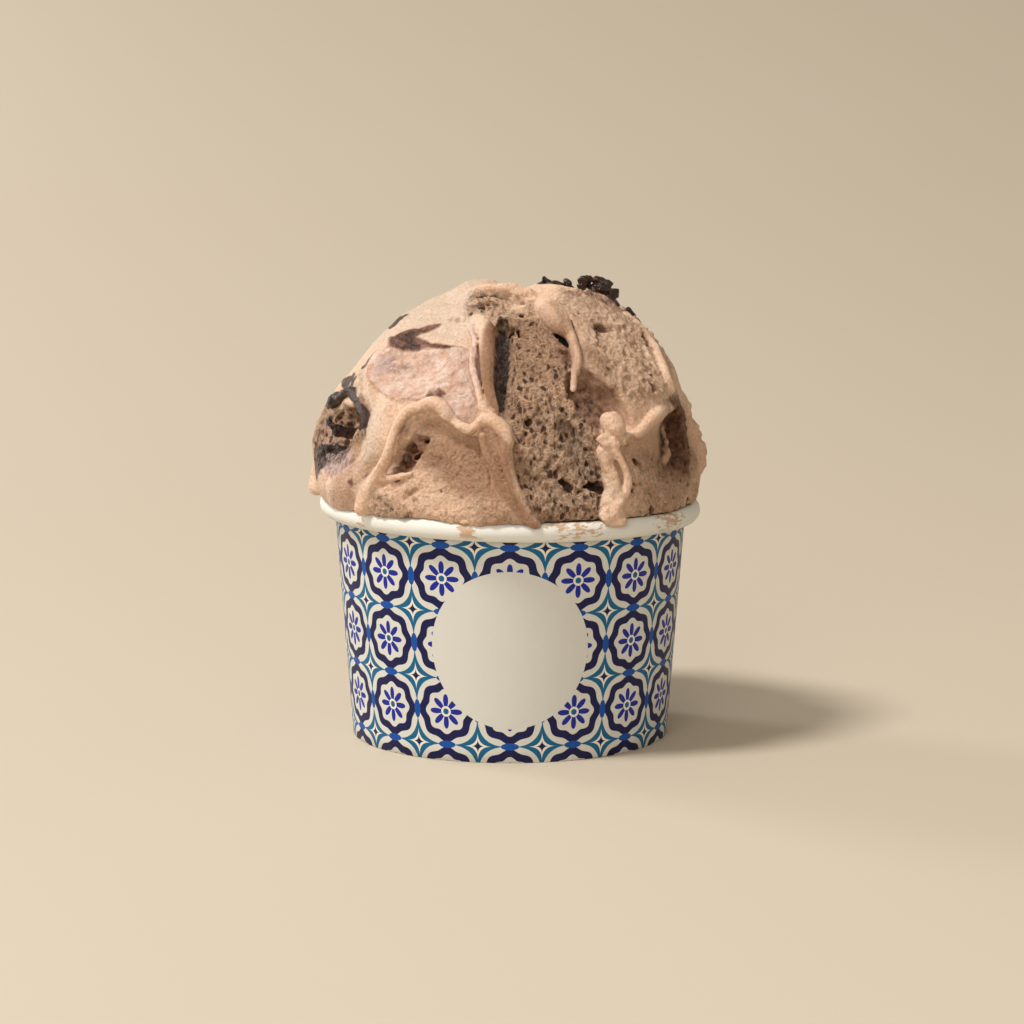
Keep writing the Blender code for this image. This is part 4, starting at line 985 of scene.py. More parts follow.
def printed_paper_material():
    """The same board, offset printed in navy, royal blue and teal with glazed-tile ornament.

    The ink is flat and crisp under the film, so only its colour tells it from the board.
    """
    material, tree, shader, here = new_material("printed_paperboard")
    fibre = add(tree, "ShaderNodeTexNoise", {"Vector": here, "Scale": 1 / 0.5, "Detail": 3.0})
    paper = mix_colour(tree, fibre, "#cccbc4", "#d2d1ca")
    rim = mix_colour(tree, fibre, "#d9d8d1", "#e0dfd8")
    split = add(tree, "ShaderNodeSeparateXYZ", (here,))
    x, y, z = split.outputs
    flipped = add(tree, "ShaderNodeMath", (y, -1.0), operation="MULTIPLY")
    turn = add(tree, "ShaderNodeMath", (x, flipped), operation="ARCTAN2")
    tilt = add(tree, "ShaderNodeMath", (x, MOUTH_DIP, 1.0), operation="MULTIPLY_ADD")
    level = add(tree, "ShaderNodeMath", (z, tilt), operation="MULTIPLY")

    def maths(operation, *values):
        return add(tree, "ShaderNodeMath", values, operation=operation)

    across = maths("MULTIPLY", turn, TILES_ROUND / (2 * math.pi))
    across = maths("MULTIPLY", maths("WRAP", across, 0.5, -0.5), TILE)
    up = maths("WRAP", maths("ADD", level, TILE * 0.25), TILE / 2, -TILE / 2)
    far = maths("SQRT", maths("ADD", maths("MULTIPLY", across, across), maths("MULTIPLY", up, up)))
    angle = maths("ARCTAN2", up, across)
    eight = maths("COSINE", maths("MULTIPLY", angle, 8.0))
    scallop = maths("MULTIPLY_ADD", eight, -0.35, far)
    petal = maths("POWER", maths("ABSOLUTE", maths("COSINE", maths("MULTIPLY", angle, 4.0))), 0.7)
    petal = maths("MULTIPLY", petal, 4.3)
    from_side = maths("SUBTRACT", TILE / 2, maths("ABSOLUTE", across))
    from_top = maths("SUBTRACT", TILE / 2, maths("ABSOLUTE", up))
    star = maths("ADD", maths("SQRT", from_side), maths("SQRT", from_top))
    leaf_side = maths("ADD", maths("POWER", maths("DIVIDE", from_side, 0.9), 2.0),
                      maths("POWER", maths("DIVIDE", up, 2.3), 2.0))
    leaf_top = maths("ADD", maths("POWER", maths("DIVIDE", from_top, 0.9), 2.0),
                     maths("POWER", maths("DIVIDE", across, 2.3), 2.0))
    layers = [
        (maths("MULTIPLY", maths("LESS_THAN", scallop, 7.3), maths("GREATER_THAN", scallop, 5.3)), "#0b0d45"),
        (maths("LESS_THAN", far, petal), "#12218c"),
        (maths("LESS_THAN", far, 1.3), "#e0dbd0"),
        (maths("LESS_THAN", far, 0.75), "#005c85"),
        (maths("LESS_THAN", star, 2.75), "#005c85"),
        (maths("LESS_THAN", star, 1.9), "#e0dbd0"),
        (maths("LESS_THAN", star, 1.35), "#0b0d45"),
        (maths("LESS_THAN", leaf_side, 1.0), "#02499a"),
        (maths("LESS_THAN", leaf_top, 1.0), "#02499a"),
    ]
    colour = paper
    for share, ink in layers:
        colour = mix_colour(tree, share, colour, ink)
    arc = maths("MULTIPLY", turn, (BASE_RADIUS + WALL_TOP) / 2)
    over = maths("SUBTRACT", level, PANEL_HEIGHT)
    from_panel = maths("SQRT", maths("ADD", maths("MULTIPLY", arc, arc), maths("MULTIPLY", over, over)))
    colour = mix_colour(tree, maths("LESS_THAN", from_panel, PANEL_RADIUS), colour, paper)
    out = maths("SQRT", maths("ADD", maths("MULTIPLY", x, x), maths("MULTIPLY", y, y)))
    skin = maths("MULTIPLY_ADD", level, (WALL_TOP - BASE_RADIUS) / ROLL_Z, BASE_RADIUS - 0.25)
    on_wall = maths("MULTIPLY", maths("GREATER_THAN", out, skin), maths("LESS_THAN", level, ROLL_Z - ROLL_HALF_HEIGHT))
    colour = mix_colour(tree, on_wall, rim, colour)
    streaks = add(tree, "ShaderNodeVectorMath", (here, (0.4, 0.4, 1.3)), operation="MULTIPLY")
    streaks = add(tree, "ShaderNodeTexNoise", {"Vector": streaks, "Scale": 1 / 1.1, "Detail": 4.0, "Roughness": 0.6})
    melted = 0.0
    for middle, half in MELTED:
        near = maths("DIVIDE", maths("ABSOLUTE", maths("SUBTRACT", turn, math.radians(middle))), math.radians(half))
        melted = maths("MAXIMUM", melted, maths("SUBTRACT", 1.0, near))
    melted = maths("MULTIPLY_ADD", maths("POWER", melted, 0.5), 0.30, streaks)
    melted = add(tree, "ShaderNodeMapRange", (melted, 0.72, 0.80))
    upper = add(tree, "ShaderNodeMapRange", (level, ROLL_Z - 2.2, ROLL_Z - 0.8))
    colour = mix_colour(tree, maths("MULTIPLY", maths("MULTIPLY", melted, upper), 0.8), colour, "#b98d66")
    tree.links.new(colour, shader.inputs["Base Color"])
    shader.inputs["Roughness"].default_value = 0.55
    shader.inputs["Specular IOR Level"].default_value = 0.3
    bump = add(tree, "ShaderNodeBump", {"Height": fibre, "Distance": 0.02 * MM, "Strength": 1.0})
    tree.links.new(bump.outputs[0], shader.inputs["Normal"])
    return material


# ---- The heap

FILL_EDGE = 55.0  # the modelled heap ends here, inside the cup
HEAP_TRIANGLES = 196_000
# The bubble marks, and the caramel and chocolate marks in hollows, pits, holes and creases, are painted shade; brown is
# partly painted shade, and wet carries a painted sheen.
MARKS = ("bubble", "porous", "pale", "wet", "mauve", "caramel_and_shade", "chocolate", "smear", "brown")

# What colours the surface: a mark, its strength, the softness of its edge in degrees, and its outline
COLOURED = {
    # The wet patch's pinker tone, with a painted sheen.
    "wet patch": ("wet", 1.0, 3, [(-57, 43), (-30, 45), (-20, 47), (-14.5, 46), (-13, 40), (-11.5, 33), (-10, 27), (-14, 22),
                                  (-19, 23), (-20, 28), (-30, 28), (-38, 26.5), (-45, 27.5), (-52, 29.5), (-57, 34)]),
    "cream spot in the wet patch": ("mauve", 1.0, 2, [(-52.5, 33.5), (-54.5, 37.5), (-52, 41), (-48.5, 40),
                                                      (-49, 35.5)]),
    "pink lip": ("mauve", 0.6, 1.5, [(-19, 57.5), (-15, 55), (-11.6, 46), (-10.6, 40), (-8.2, 31), (-10, 31), (-12.8, 40), (-14.5, 48)]),
    "shaded side of the upright ridge": ("brown", 1.0, 2, [(-10.5, 52), (-9.6, 40.7), (-7.9, 31.5), (-6.2, 26), (-3, 25), (-4, 33),
                                                           (-4.6, 40.8), (-5, 48.8), (-3.6, 57), (-8, 58)]),
    # The right leg's darker melted tone, partly painted shade as well.
    "right leg": ("brown", 0.85, 2, [(-8.4, 18), (-6.4, 11.3), (-3.6, 4.2), (0.8, -3), (5.3, -9.4), (8, -14), (14, -14),
                                     (11, -10.5), (7.4, -4.8), (3.3, 1.5), (1.4, 7.8), (1.4, 15), (-2, 18.5)]),
    "shade under the arch": ("brown", 0.7, 4, [(-34, 18), (-30, 22), (-24, 22.5), (-14, 18), (-9, 17.5), (-8, 14),
                                               (-16, 13.5), (-24, 16), (-31, 16)]),
    "edge of the cut face": ("brown", 0.6, 3, [(22, 60), (27, 59), (29, 46), (26.5, 34), (24, 34), (25.5, 46)]),
    "below the left leg": ("brown", 0.5, 4, [(-60, 6), (-48, 8), (-40, 10), (-46, -2), (-52, -8), (-62, -6)]),
    "upper left lobe": ("pale", 1.0, 10, [(-105, 38), (-66, 42), (-58, 48), (-20, 50), (-14, 58), (-34, 70),
                                          (-60, 85), (-110, 85), (-125, 60)]),
    "left column": ("pale", 0.9, 5, [(-64, 42), (-52, 27), (-42, 24), (-40, 8), (-50, 6), (-50, 20), (-62, 30),
                                     (-72, 36)]),
    "right lobe": ("pale", 0.12, 8, [(30, 66), (60, 74), (92, 64), (84, 34), (70, 29), (60, 42),
                    (48, 46),
                    (38, 52)]),
    "warm shoulder below the clump": ("caramel_and_shade", 0.3, 6, [(48, 70),
                    (66, 69), (84, 60), (88, 48), (80, 44), (66, 54), (56, 60)]),
    "streak over the wet patch": ("caramel_and_shade", 0.95, 2.5, [(-54, 42.3), (-57, 45), (-59, 48), (-56, 50.5), (-47.5, 56),
                                                         (-41, 58), (-40, 56), (-45, 51.5), (-47, 49.5), (-36, 48),
                                                         (-28, 48), (-19.5, 47.8), (-25, 45.3), (-38, 44.2),
                                                         (-50, 42.8)]),
    "dark head of the streak": ("chocolate", 0.54, 2, [(-54, 42.5), (-57, 46), (-55, 50), (-48, 54), (-44, 56),
                                                       (-46, 51), (-48, 48.5), (-40, 46.5), (-30, 46.2), (-38, 44.6),
                                                       (-48, 43.2)]),
    "tail of the streak": ("chocolate", 0.5, 1.6, [(-38, 46.8), (-27, 47), (-20, 47.6), (-22, 46.2), (-36, 45)]),
    "flecks above the streak": ("caramel_and_shade", 0.5, 2, [(-40, 59), (-36, 60.5), (-28, 60), (-28, 58.5), (-36, 58)]),
    "orange edge of the wet patch": ("caramel_and_shade", 0.35, 4, [(-52, 42), (-42, 41), (-32, 38.5), (-40, 36), (-48, 35),
                                                          (-50, 31), (-44, 29), (-52, 30)]),
    "red spot in the wet patch": ("caramel_and_shade", 0.7, 1.6, [(-29, 30.5), (-24.5, 32.5), (-21, 31), (-23, 29),
                                                        (-29, 28.8)]),
    "crumbs under the wet patch": ("caramel_and_shade", 0.45, 2, [(-40, 28), (-30, 29), (-22, 29.5), (-22, 27.5), (-38, 26.5)]),
    "groove by the upright ridge": ("smear", 1.0, 2.4, [(-5, 58), (-4, 60.4), (0.6, 60.4), (2.2, 57),
                                     (1.9, 50), (1.4, 40), (0.2, 33), (-0.8, 26.5), (-2.9, 26),
                                     (-4.4, 33), (-4.8, 40.8), (-4.9, 47), (-5, 54)]),
    # Painted shade in the left cavity.
    "left cavity": ("chocolate", 0.42, 5, [(-70.4, 27.3), (-50.7, 20.5), (-49.5, 15.1), (-57.9, 13.6),
                     (-67, 8.8), (-87.7, 5.2), (-88.2, 9.7), (-88.9, 14.6), (-76.9, 21.6)]),
    # Painted shade along the cavity's right edge.
    "dark edge of the cavity": ("chocolate", 0.85, 1.6, [(-65.4, 27.2), (-55.7, 24.6), (-48.4, 20.6),
                                 (-47, 17), (-50.4, 15.5), (-53.6, 17), (-52.9, 20.2), (-57.5, 22.8)]),
    # Painted shade in a hole of the cavity.
    "dark hole in the cavity": ("chocolate", 0.9, 1.5, [(-80.8, 15.6), (-69, 16), (-65.5, 12.2),
                                (-73.8, 11.8)]),
    # Painted shade in the hole below the tongue.
    "dark hole below the tongue": ("chocolate", 0.9, 1.5, [(-81.9, 7.9), (-69.3, 9.8), (-68.2, 7.1),
                                   (-79.7, 5.7)]),
    "round the left cavity": ("caramel_and_shade", 0.34, 9, [(-95, 20), (-75, 32), (-58, 33), (-45, 16), (-47, 2), (-66, -2),
                                                  (-84, -5), (-96, 5)]),
    "grains below the cavity": ("mauve", 0.85, 3, [(-82.2, 8), (-61.2, 11.2), (-53.6, 10.2),
                                 (-54.8, 5.3), (-61.8, 1.5),
                                 (-78.1, 1.2)]),
    # Painted shade between the grains.
    "dark among the grains": ("smear", 0.40, 3, [(-82.2, 8),
                                 (-61.2, 11.2), (-53.6, 10.2), (-54.8, 5.3), (-61.8, 1.5),
                                 (-78.1, 1.2)]),
    "dark strokes at the far left": ("smear", 0.8, 2.5, [(-87.7, 6.4),
                                 (-81.5, 8), (-71.6, 5.1), (-73.2, 0.1), (-86.3, -3.5)]),
    "smear by the left leg": ("caramel_and_shade", 0.85, 1.5, [(-54.1, 0.4), (-51.6, 2.8), (-47, 4.4),
                               (-43.2, 5.4), (-43.9, 3.3), (-47.8, 0.5), (-52.1, -1.1)]),
    "under the left flank": ("caramel_and_shade", 0.28, 8, [(-90, -2), (-46, 0), (-44, -10), (-90, -12)]),
    # Painted shade in the right pit, deepest at its core.
    "right pit": ("caramel_and_shade", 0.68, 5, [(58, 21), (66, 27), (77, 26), (82, 12), (74, 0), (60, 4)]),
    "right pit's core": ("chocolate", 0.42, 2.5, [(73, 27), (79, 27), (80, 22), (75, 20),
                          (72, 23)]),
    # Painted shade among the crumbs in the right pit.
    "crumbs in the right pit": ("chocolate", 0.45, 4, [(60, 14),
                          (68, 14), (71, 7), (62, 6)]),
    # Painted shade in the leaf hollow, darkest at its core.
    "leaf hollow": ("caramel_and_shade", 0.62, 4, [(24.5, 37), (31, 38.5), (40, 31), (43, 22), (36, 18),
                     (27, 22)]),
    "core of the leaf hollow": ("chocolate", 0.46, 3, [(27, 37), (33, 36), (36.5, 30), (34, 25),
                                 (29, 29)]),
    # Painted shade in the pockets under the curl.
    "pocket under the curl": ("chocolate", 0.72, 2, [(28.3, 57.2), (35.1, 58.4), (36.6, 55.3),
                               (32.9, 48.6), (28.7, 47.1), (26.0, 49.8)]),
    "lower pocket under the curl": ("caramel_and_shade", 0.75, 2, [(21.5, 46.5), (27, 46.5), (26, 41.5),
                                     (22.5, 42)]),
    "under the clump": ("caramel_and_shade", 0.5, 4, [(50, 72), (66, 69), (84, 60), (90, 48), (84, 46), (74, 55),
                         (62, 64), (50, 68)]),
    "flecks in the right lobe": ("caramel_and_shade", 0.3, 5, [(66, 60), (86, 60), (88, 48), (70, 48)]),
    "speck on the arch": ("caramel_and_shade", 0.7, 1, [(-24.4, 27), (-23, 27), (-23, 25.8),
                           (-24.4, 25.8)]),
    # Painted shade on the floor of the tear.
    "floor of the tear": ("caramel_and_shade", 0.68, 2, [(-37, 5), (-37, 9), (-33, 14), (-29, 17), (-25.6, 17),
                           (-26.5, 12.5), (-30.5, 8.5), (-33, 5)]),
    "upper cut face": ("brown", 0.35, 4, [(1, 61), (24, 60),
                           (27, 46), (24, 36),
                           (2, 36)]),
    "slanted band": ("pale", 0.6, 2, [(18, 23), (22, 23), (34, 2), (31, -1),
                      (26, 5)]),
    "lower cut face": ("pale", 0.25, 6, [(8, 26), (27, 28), (33, 8), (33, -9), (13, -11), (7, 2)]),
    "shade below the arch": ("brown", 0.75, 7, [(-27, 18), (-6, 18),
                      (2, 10), (3, -3), (-8, -1), (-18, 2),
                      (-29, 9)]),
    "shade in the right scoop": ("brown", 0.6, 6, [(44, 17), (56, 19), (64, 21), (82, 22), (86, 4),
                                  (70, -3), (56, 1), (47, 6)]),
    "shade right of the curl": ("brown", 0.65, 5, [(28, 48), (35, 48),
                      (42, 40), (38, 34),
                      (29, 38)]),
    "brown lumps at the right edge": ("brown", 0.2, 5, [(82, 18), (100, 20), (102, -6), (82, -8)]),
    "brown foot of the right leg": ("brown", 0.55, 5, [(-8, -3),
                      (6, -1), (16, -8), (16, -14),
                      (-10, -14)]),
    "brown low in the right foot": ("brown", 0.45, 6, [(44, 3),
                      (66, 2), (68, -12),
                      (44, -12)]),
    # Painted shade in the crease by the left cavity.
    "crease by the left cavity": ("caramel_and_shade", 0.72, 3, [(-56.3, 25.8),
                      (-50.4, 23.1), (-45.4, 18.5), (-42.5, 13.3), (-45.1, 11.2), (-49.2, 15.7),
                      (-54.2, 20.8)]),
    "stroke on the left outline": ("chocolate", 0.62, 2, [(-73, 25), (-90.5, 26.7), (-104, 24), (-116, 17), (-104, 26.5),
                                                           (-91, 29.7), (-82, 33.3), (-74, 33.4), (-75.4, 30.5)]),
    "upper stroke on the left outline": ("chocolate", 0.62, 2, [(-75, 49.7), (-86, 49.2), (-97, 50), (-108, 46), (-98, 52.5),
                                                                 (-90, 54), (-83, 57.4), (-76.6, 58.6), (-73, 54)]),
    "middle stroke on the left outline": ("chocolate", 0.6, 2, [(-76, 33.5), (-76, 36.8), (-72.7, 40.4), (-69.6, 43.5),
                                                                (-67.5, 40.5), (-69, 37), (-70.5, 33)]),
    "streak across the back": ("caramel_and_shade", 0.9, 3, [(142, 56), (154, 59), (168, 57), (178, 50), (186, 40), (176, 47),
                                                   (166, 52), (152, 54)]),
    "groove down the left back": ("smear", 0.9, 2.5, [(-146, 52), (-142, 50), (-141, 32), (-143, 12), (-146, 14),
                                                      (-147, 32)]),
    "torn face at the left back": ("brown", 0.25, 3, [(-166, 50), (-150, 57), (-145, 44), (-146, 22), (-152, -6),
                                                      (-166, -6), (-172, 20)]),
    # The same pinker tone, with its painted sheen.
    "slab at the back": ("wet", 0.9, 4, [(144, 46), (168, 48), (174, 34), (164, 26), (146, 28), (140, 36)]),
    "stain low at the right back": ("caramel_and_shade", 0.5, 6, [(96, 6), (112, 10), (134, 2), (132, -10), (98, -10)]),
    "stain low at the back": ("caramel_and_shade", 0.35, 8, [(150, 2), (200, 4), (212, -10), (150, -12)]),
    "pale flank at the left back": ("pale", 0.8, 8, [(-100, 44), (-134, 50), (-138, 10), (-120, -4), (-100, 0)]),
}


def model_gelato():
    """The heap's mesh, with the marks that its colour follows."""
    points, faces = carve(HEAP_LOW, HEAP_HIGH, GRAIN, model_heap)
    faces = faces[(points[faces, 2] > FILL_EDGE).any(1)]
    used = np.unique(faces)
    number = np.zeros(len(points), int)
    number[used] = np.arange(len(used))
    points, faces = points[used], number[faces]
    skin = Sculpt(points, np.zeros((1, 3)), 0)
    model_heap(skin)
    marks = {name: skin.marks.get(name, np.zeros((len(points), 1)))[:, 0] for name in MARKS}
    turn, rise = skin.turn[:, 0], skin.rise[:, 0]
    for name, strength, soft, outline in COLOURED.values():
        marks[name] = np.maximum(marks[name], strength * outline_share(turn, rise, outline, soft))
    for name in ("caramel_and_shade", "chocolate", "smear"):
        marks[name] *= 1 - 0.9 * skin.marks["ridge"][:, 0]
    floor = RECESS + BOARD + GAP
    inset = BOARD + GAP + 0.05
    rings = [(z, wall_radius(z) - inset) for z in (FILL_EDGE - 1.0, floor)]
    piece = new_piece("gelato_heap", points, faces, marks)
    seen = np.clip(0.75 - points[:, 1] / 60, 0.2, 1) * (points[:, 2] > CUP_HEIGHT - 3)
    thin(piece, HEAP_TRIANGLES, np.round(seen, 1))
    fill_below(piece, rings)
    return piece


# ---- Chocolate

CHOCOLATE_GRAIN = 0.22
CHOCOLATE = {
    "chocolate_clump_top": [(93, 67.5, 3.8, 2.0), (90, 62, 3.7, 2.7), (88, 56, 2.6, 2.5), (87, 51, 1.7, 1.7)],
    "chocolate_shard_crest": [(107, 79, 0.5, 1.0), (100.5, 75.5, 1.5, 1.3), (96.5, 72, 2.1, 1.2)],
    "chocolate_ripple_left": [(-88.2, 9.6, -0.6, 0.9), (-88.6, 12.7, -0.9, 1.5), (-89.3, 17.1, -1.2, 1.9), (-80.1, 22.4, -1.4, 1.8), (-73.8, 26.3, -1.6, 1.3), (-69.4, 26.9, -1.8, 1.2), (-60.7, 24.8, -1.8, 1.6), (-54.1, 21.5, -2, 1.8), (-51.4, 18.1, -2.4, 1.3)],
}
SHARD_EDGE = 0.4  # how far a shard's edges are rounded
SMOOTH_CHOCOLATE = "chocolate_ripple_left"


def shard_gap(where, centre, half, ways):
    """Distance to a box with slightly rounded edges, turned any way."""
    across, _ = np.linalg.qr(np.transpose(ways))
    over = np.abs((where - centre.astype(np.float32)) @ across.astype(np.float32)) - half.astype(np.float32)
    outside = np.sqrt((np.maximum(over, 0) ** 2).sum(-1))
    return outside + np.minimum(over.max(-1), 0) - SHARD_EDGE


def model_chocolate(name, rows, seed):
    """Chocolate along a path: a torn band, or a clump of shards turned every way."""
    path = smooth_path([(*place(*row[:3]), row[3]) for row in rows], 2)
    reach = path[:, 3].max() * 1.8 + 2

    def model(sculpt):
        whole = np.arange(len(sculpt.centres))
        where = sculpt.fixed
        if name == SMOOTH_CHOCOLATE:
            cubes, gap = sculpt.ridge([(*place(*row[:3]), row[3]) for row in rows])
            sculpt.add(cubes, gap, 0.01)
        else:
            cubes, gap = sculpt.ridge([(*place(*row[:3]), 0.55 * row[3]) for row in rows])
            sculpt.add(cubes, gap, 0.01)
            random = np.random.default_rng(seed)
            for x, y, z, radius in np.vstack([path, path]):
                centre = (x, y, z) + random.normal(0, 0.6, 3) * radius
                half = radius * random.uniform((0.15, 0.3, 0.25), (0.32, 0.8, 0.6))
                ways = np.vstack([centre - BALL, random.normal(size=(2, 3))]) + random.normal(0, 16, (3, 3)) * [[1], [0], [0]]
                sculpt.add(whole, shard_gap(where, centre, half, ways), 0.2)
        sculpt.distance -= 0.34 * rough(where, 1.8, seed + 40) + 0.2 * lumps(where, 0.8, seed + 50)

    points, faces = carve(path[:, :3].min(0) - reach, path[:, :3].max(0) + reach, CHOCOLATE_GRAIN, model)
    return new_piece(name + "_broken", points, faces)


# ---- The cup


def on_roll(degrees, inset=0.0):
    """A point of the rolled rim's section, or of one inset from it."""
    a = math.radians(degrees)
    width, height = ROLL_HALF_WIDTH - inset, ROLL_HALF_HEIGHT - inset
    return ROLL_RADIUS + width * math.cos(a), ROLL_Z + height * math.sin(a)


def wall_profile():
    """Up the outer face, round inside the open roll, back over it and down the inner face to the fold."""
    slot = BOARD + 2 * GAP + BOARD
    fold = slot + BOARD
    outer = [(wall_radius(0) - 0.2, 0.0), (wall_radius(0.2), 0.2)]
    outer += [(wall_radius(z), z) for z in range(3, 55, 3)]
    inside_roll = [on_roll(a, BOARD) for a in range(180, -165, -15)]
    over_roll = [on_roll(a) for a in range(-150, 195, 15)]
    inner = [(wall_radius(z) - BOARD, z) for z in (45.0, 30.0, 15.0, BOARD)]
    folded = [(wall_radius(BOARD) - slot, BOARD), (wall_radius(FOLD_HEIGHT) - slot, FOLD_HEIGHT),
              (wall_radius(FOLD_HEIGHT) - fold, FOLD_HEIGHT), (wall_radius(0) - fold, 0.0)]
    return outer + inside_roll + over_roll + inner + folded


def bottom_profile():
    """A disc with its edge turned down into the slot of the wall's fold."""
    outside, inside = BOARD + GAP, 2 * BOARD + GAP
    foot, top = BOARD + GAP, RECESS + BOARD
    return [(0.02, RECESS), (20.0, RECESS), (wall_radius(RECESS) - inside - 0.6, RECESS),
            (wall_radius(RECESS) - inside, RECESS - 0.6), (wall_radius(foot) - inside, foot),
            (wall_radius(foot) - outside, foot), (wall_radius(top) - outside, top - 0.5),
            (wall_radius(top) - outside - 0.5, top), (20.0, top), (0.02, top)]


def turning_tree():
    """Turns a profile of radius and height round the upright axis into a closed wall, with a lapped side seam."""
    tree = bpy.data.node_groups.new("turned_board", "GeometryNodeTree")
    for name, kind in (("Profile", "NodeSocketGeometry"), ("Sides", "NodeSocketInt"), ("Lap", "NodeSocketFloat"),
                       ("Board", "NodeSocketFloat"), ("Dip", "NodeSocketFloat"), ("Material", "NodeSocketMaterial")):
        tree.interface.new_socket(name, in_out="INPUT", socket_type=kind)
    tree.interface.new_socket("Piece", in_out="OUTPUT", socket_type="NodeSocketGeometry")
    given = add(tree, "NodeGroupInput").outputs
    circle = add(tree, "GeometryNodeCurvePrimitiveCircle", {"Resolution": given["Sides"], "Radius": 1.0})
    flip = add(tree, "ShaderNodeVectorMath", (add(tree, "GeometryNodeInputPosition"), (1.0, -1.0, 1.0)),
               operation="MULTIPLY")
    shift = add(tree, "ShaderNodeVectorMath", (flip, (-1.0, 0.0, 0.0)), operation="ADD")
    profile = add(tree, "GeometryNodeSetPosition", {"Geometry": given["Profile"], "Position": shift})
    wall = add(tree, "GeometryNodeCurveToMesh", {"Curve": circle, "Profile Curve": profile})
    where = add(tree, "ShaderNodeSeparateXYZ", (add(tree, "GeometryNodeInputPosition"),)).outputs
    turn = add(tree, "ShaderNodeMath", (where[0], add(tree, "ShaderNodeMath", (where[1], -1.0),
                                                      operation="MULTIPLY")), operation="ARCTAN2")
    start = add(tree, "ShaderNodeMath", (math.pi, given["Lap"]), operation="SUBTRACT")
    lap = add(tree, "ShaderNodeMapRange", (turn, start, math.pi - 0.01, 0.0, given["Board"]))
    out = add(tree, "ShaderNodeCombineXYZ", (where[0], where[1], 0.0))
    out = add(tree, "ShaderNodeVectorMath", (out,), operation="NORMALIZE")
    raised = add(tree, "ShaderNodeVectorMath", {0: out, "Scale": lap}, operation="SCALE")
    sunk = add(tree, "ShaderNodeMath", (where[2], where[0]), operation="MULTIPLY")
    sunk = add(tree, "ShaderNodeMath", (sunk, given["Dip"]), operation="MULTIPLY")
    sunk = add(tree, "ShaderNodeCombineXYZ", (0.0, 0.0, add(tree, "ShaderNodeMath", (sunk, -1.0),
                                                            operation="MULTIPLY")))
    offset = add(tree, "ShaderNodeVectorMath", (raised, sunk), operation="ADD")
    moved = add(tree, "GeometryNodeSetPosition", {"Geometry": wall, "Offset": offset})
    real = add(tree, "GeometryNodeRealizeInstances", (moved,))
    smooth = add(tree, "GeometryNodeSetShadeSmooth", {"Geometry": real})
    done = add(tree, "GeometryNodeSetMaterial", {"Geometry": smooth, "Material": given["Material"]})
    add(tree, "NodeGroupOutput", (done,))
    return tree


def turned_piece(name, profile, tree, material, lap=0.0):
    """A piece of board turned from its profile."""
    curve = bpy.data.curves.new(name, "CURVE")
    curve.dimensions = "2D"
    spline = curve.splines.new("POLY")
    spline.points.add(len(profile) - 1)
    for point, (radius, z) in zip(spline.points, profile):
        point.co = (radius * MM, z * MM, 0, 1)
    spline.use_cyclic_u = True
    maker = bpy.data.objects.new(name + "_profile", curve)
    bpy.context.scene.collection.objects.link(maker)
    modifier = maker.modifiers.new("turned", "NODES")
    modifier.node_group = tree
    sizes = {"Sides": CUP_SIDES, "Lap": lap, "Board": BOARD * MM, "Dip": MOUTH_DIP / MM, "Material": material}
    for item in tree.interface.items_tree:
        if item.in_out == "INPUT" and item.name in sizes:
            modifier[item.identifier] = sizes[item.name]
    graph = bpy.context.evaluated_depsgraph_get()
    mesh = bpy.data.meshes.new_from_object(maker.evaluated_get(graph))
    mesh.name = name
    bpy.data.objects.remove(maker)
    piece = bpy.data.objects.new(name, mesh)
    bpy.context.scene.collection.objects.link(piece)
    return piece


# ---- The studio


SWEEP_START = 0.25  # where the paper starts to rise behind the cup
SWEEP_RADIUS = 3.0
# Soft lights: where, what they are turned to, size, power and tint
LIGHTS = {
    "key": ((-0.95, -0.55, 1.85), (0, 0, 0.05), 0.45, 41.0, (1.0, 0.985, 0.96)),
    "front fill": ((-0.35, -1.5, 0.75), (0, 0, 0.05), 0.9, 7.5, (1.0, 0.95, 0.88)),
    "glow on the background": ((-1.3, 0.9, 0.7), (-0.1, 0.8, 0.05), 0.5, 11.0, (0.94, 0.98, 1.04)),
}
FILL_STRENGTH = 0.44
FILL_TINT = (1.0, 0.90, 0.75, 1.0)
CAMERA_SPOT = (0.0005, -0.9, 0.191)
CAMERA_TILT = 0.1494
CAMERA_LENS = 127.8


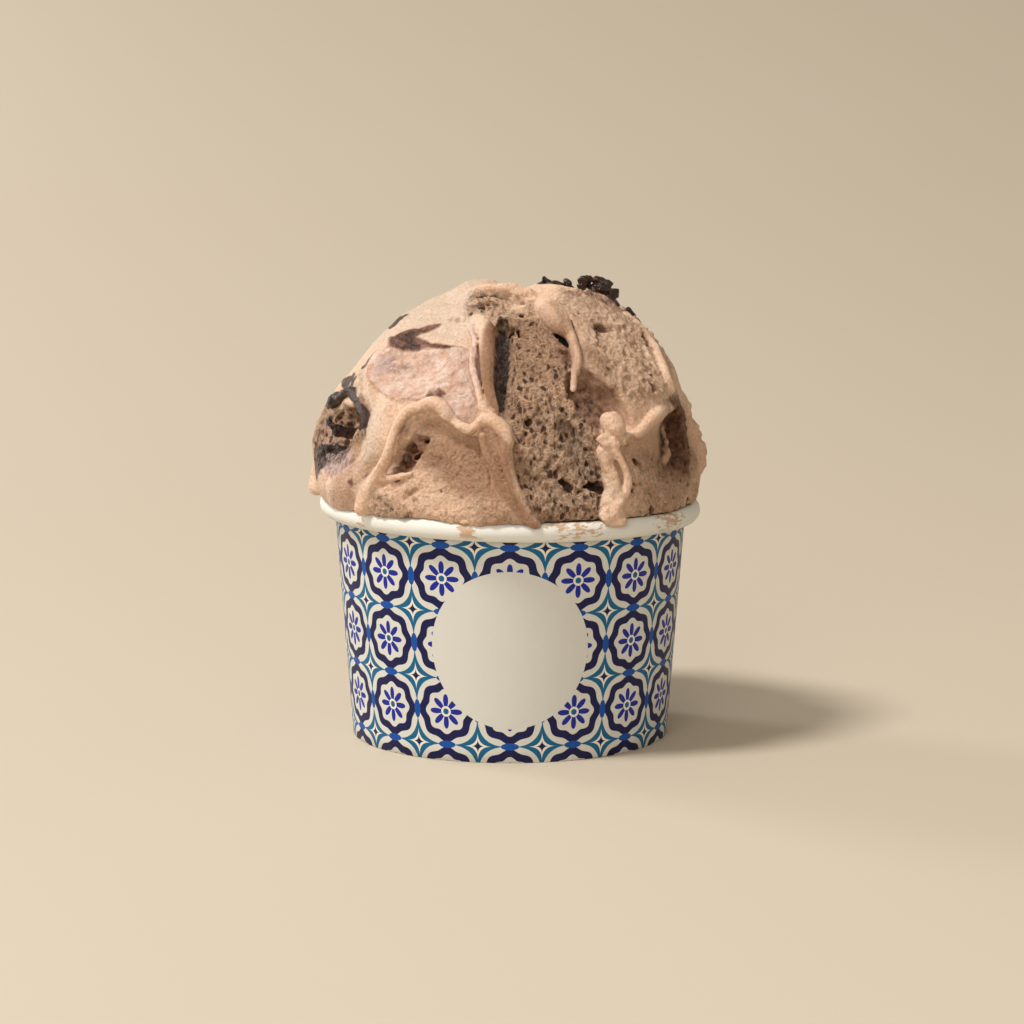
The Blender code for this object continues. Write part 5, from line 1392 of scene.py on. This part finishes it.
def studio():
    """A pale sweep of paper, a soft key light high on the left and the camera in front."""
    scene = bpy.context.scene
    points, faces = [], []
    rise = [(0, -2.0), (0, SWEEP_START)] + [(SWEEP_RADIUS * (1 - math.cos(a)), SWEEP_START + SWEEP_RADIUS * math.sin(a))
                                            for a in np.linspace(0.04, math.pi / 2, 40)]
    for z, y in rise:
        points += [(-4.0, y, z), (4.0, y, z)]
    faces = [(2 * i, 2 * i + 1, 2 * i + 3, 2 * i + 2) for i in range(len(rise) - 1)]
    mesh = bpy.data.meshes.new("paper_sweep")
    mesh.from_pydata(points, [], faces)
    mesh.shade_smooth()
    sweep = bpy.data.objects.new("paper_sweep", mesh)
    scene.collection.objects.link(sweep)
    material, tree, shader, here = new_material("matt_background_paper")
    shade = add(tree, "ShaderNodeTexNoise", {"Vector": here, "Scale": 1 / 400})
    tree.links.new(mix_colour(tree, shade, "#bdb09c", "#c0b4a2"), shader.inputs["Base Color"])
    shader.inputs["Roughness"].default_value = 0.75
    mesh.materials.append(material)
    scene.view_settings.view_transform = "Standard"
    world = bpy.data.worlds.new("studio")
    scene.world = world
    world.use_nodes = True
    background = world.node_tree.nodes["Background"]
    background.inputs["Color"].default_value = FILL_TINT
    background.inputs["Strength"].default_value = FILL_STRENGTH
    for name, (spot, aim, size, power, tint) in LIGHTS.items():
        light = bpy.data.lights.new(name, "AREA")
        light.shape = "DISK"
        light.size, light.energy, light.color = size, power, tint
        lamp = bpy.data.objects.new(name, light)
        scene.collection.objects.link(lamp)
        lamp.location = spot
        aim = np.subtract(aim, spot)
        lamp.rotation_euler = (math.atan2(math.hypot(aim[0], aim[1]), -aim[2]), 0, math.atan2(-aim[0], aim[1]))
    camera = bpy.data.cameras.new("front")
    camera.lens = CAMERA_LENS
    camera.sensor_width = 36.0
    viewer = bpy.data.objects.new("front", camera)
    scene.collection.objects.link(viewer)
    viewer.location = CAMERA_SPOT
    viewer.rotation_euler = (math.pi / 2 - CAMERA_TILT, 0, 0)
    scene.camera = viewer


def main():
    tree = turning_tree()
    cup = turned_piece("paper_cup", wall_profile(), tree, printed_paper_material(), math.radians(9))
    disc = turned_piece("cup_bottom_disc", bottom_profile(), tree, paper_material())
    heap = model_gelato()
    heap.data.materials.append(gelato_material())
    dark = chocolate_material()
    pieces = [(cup, "cup_wall", "paperboard"), (disc, "cup_bottom", "bottom_board"), (heap, "gelato", "gelato")]
    for seed, (name, rows) in enumerate(CHOCOLATE.items()):
        piece = model_chocolate(name, rows, seed)
        piece.data.materials.append(dark)
        pieces.append((piece, name, "dark_chocolate"))
    for piece, node, slot in pieces:
        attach(piece, "root")
        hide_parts(node)
    studio()


main()
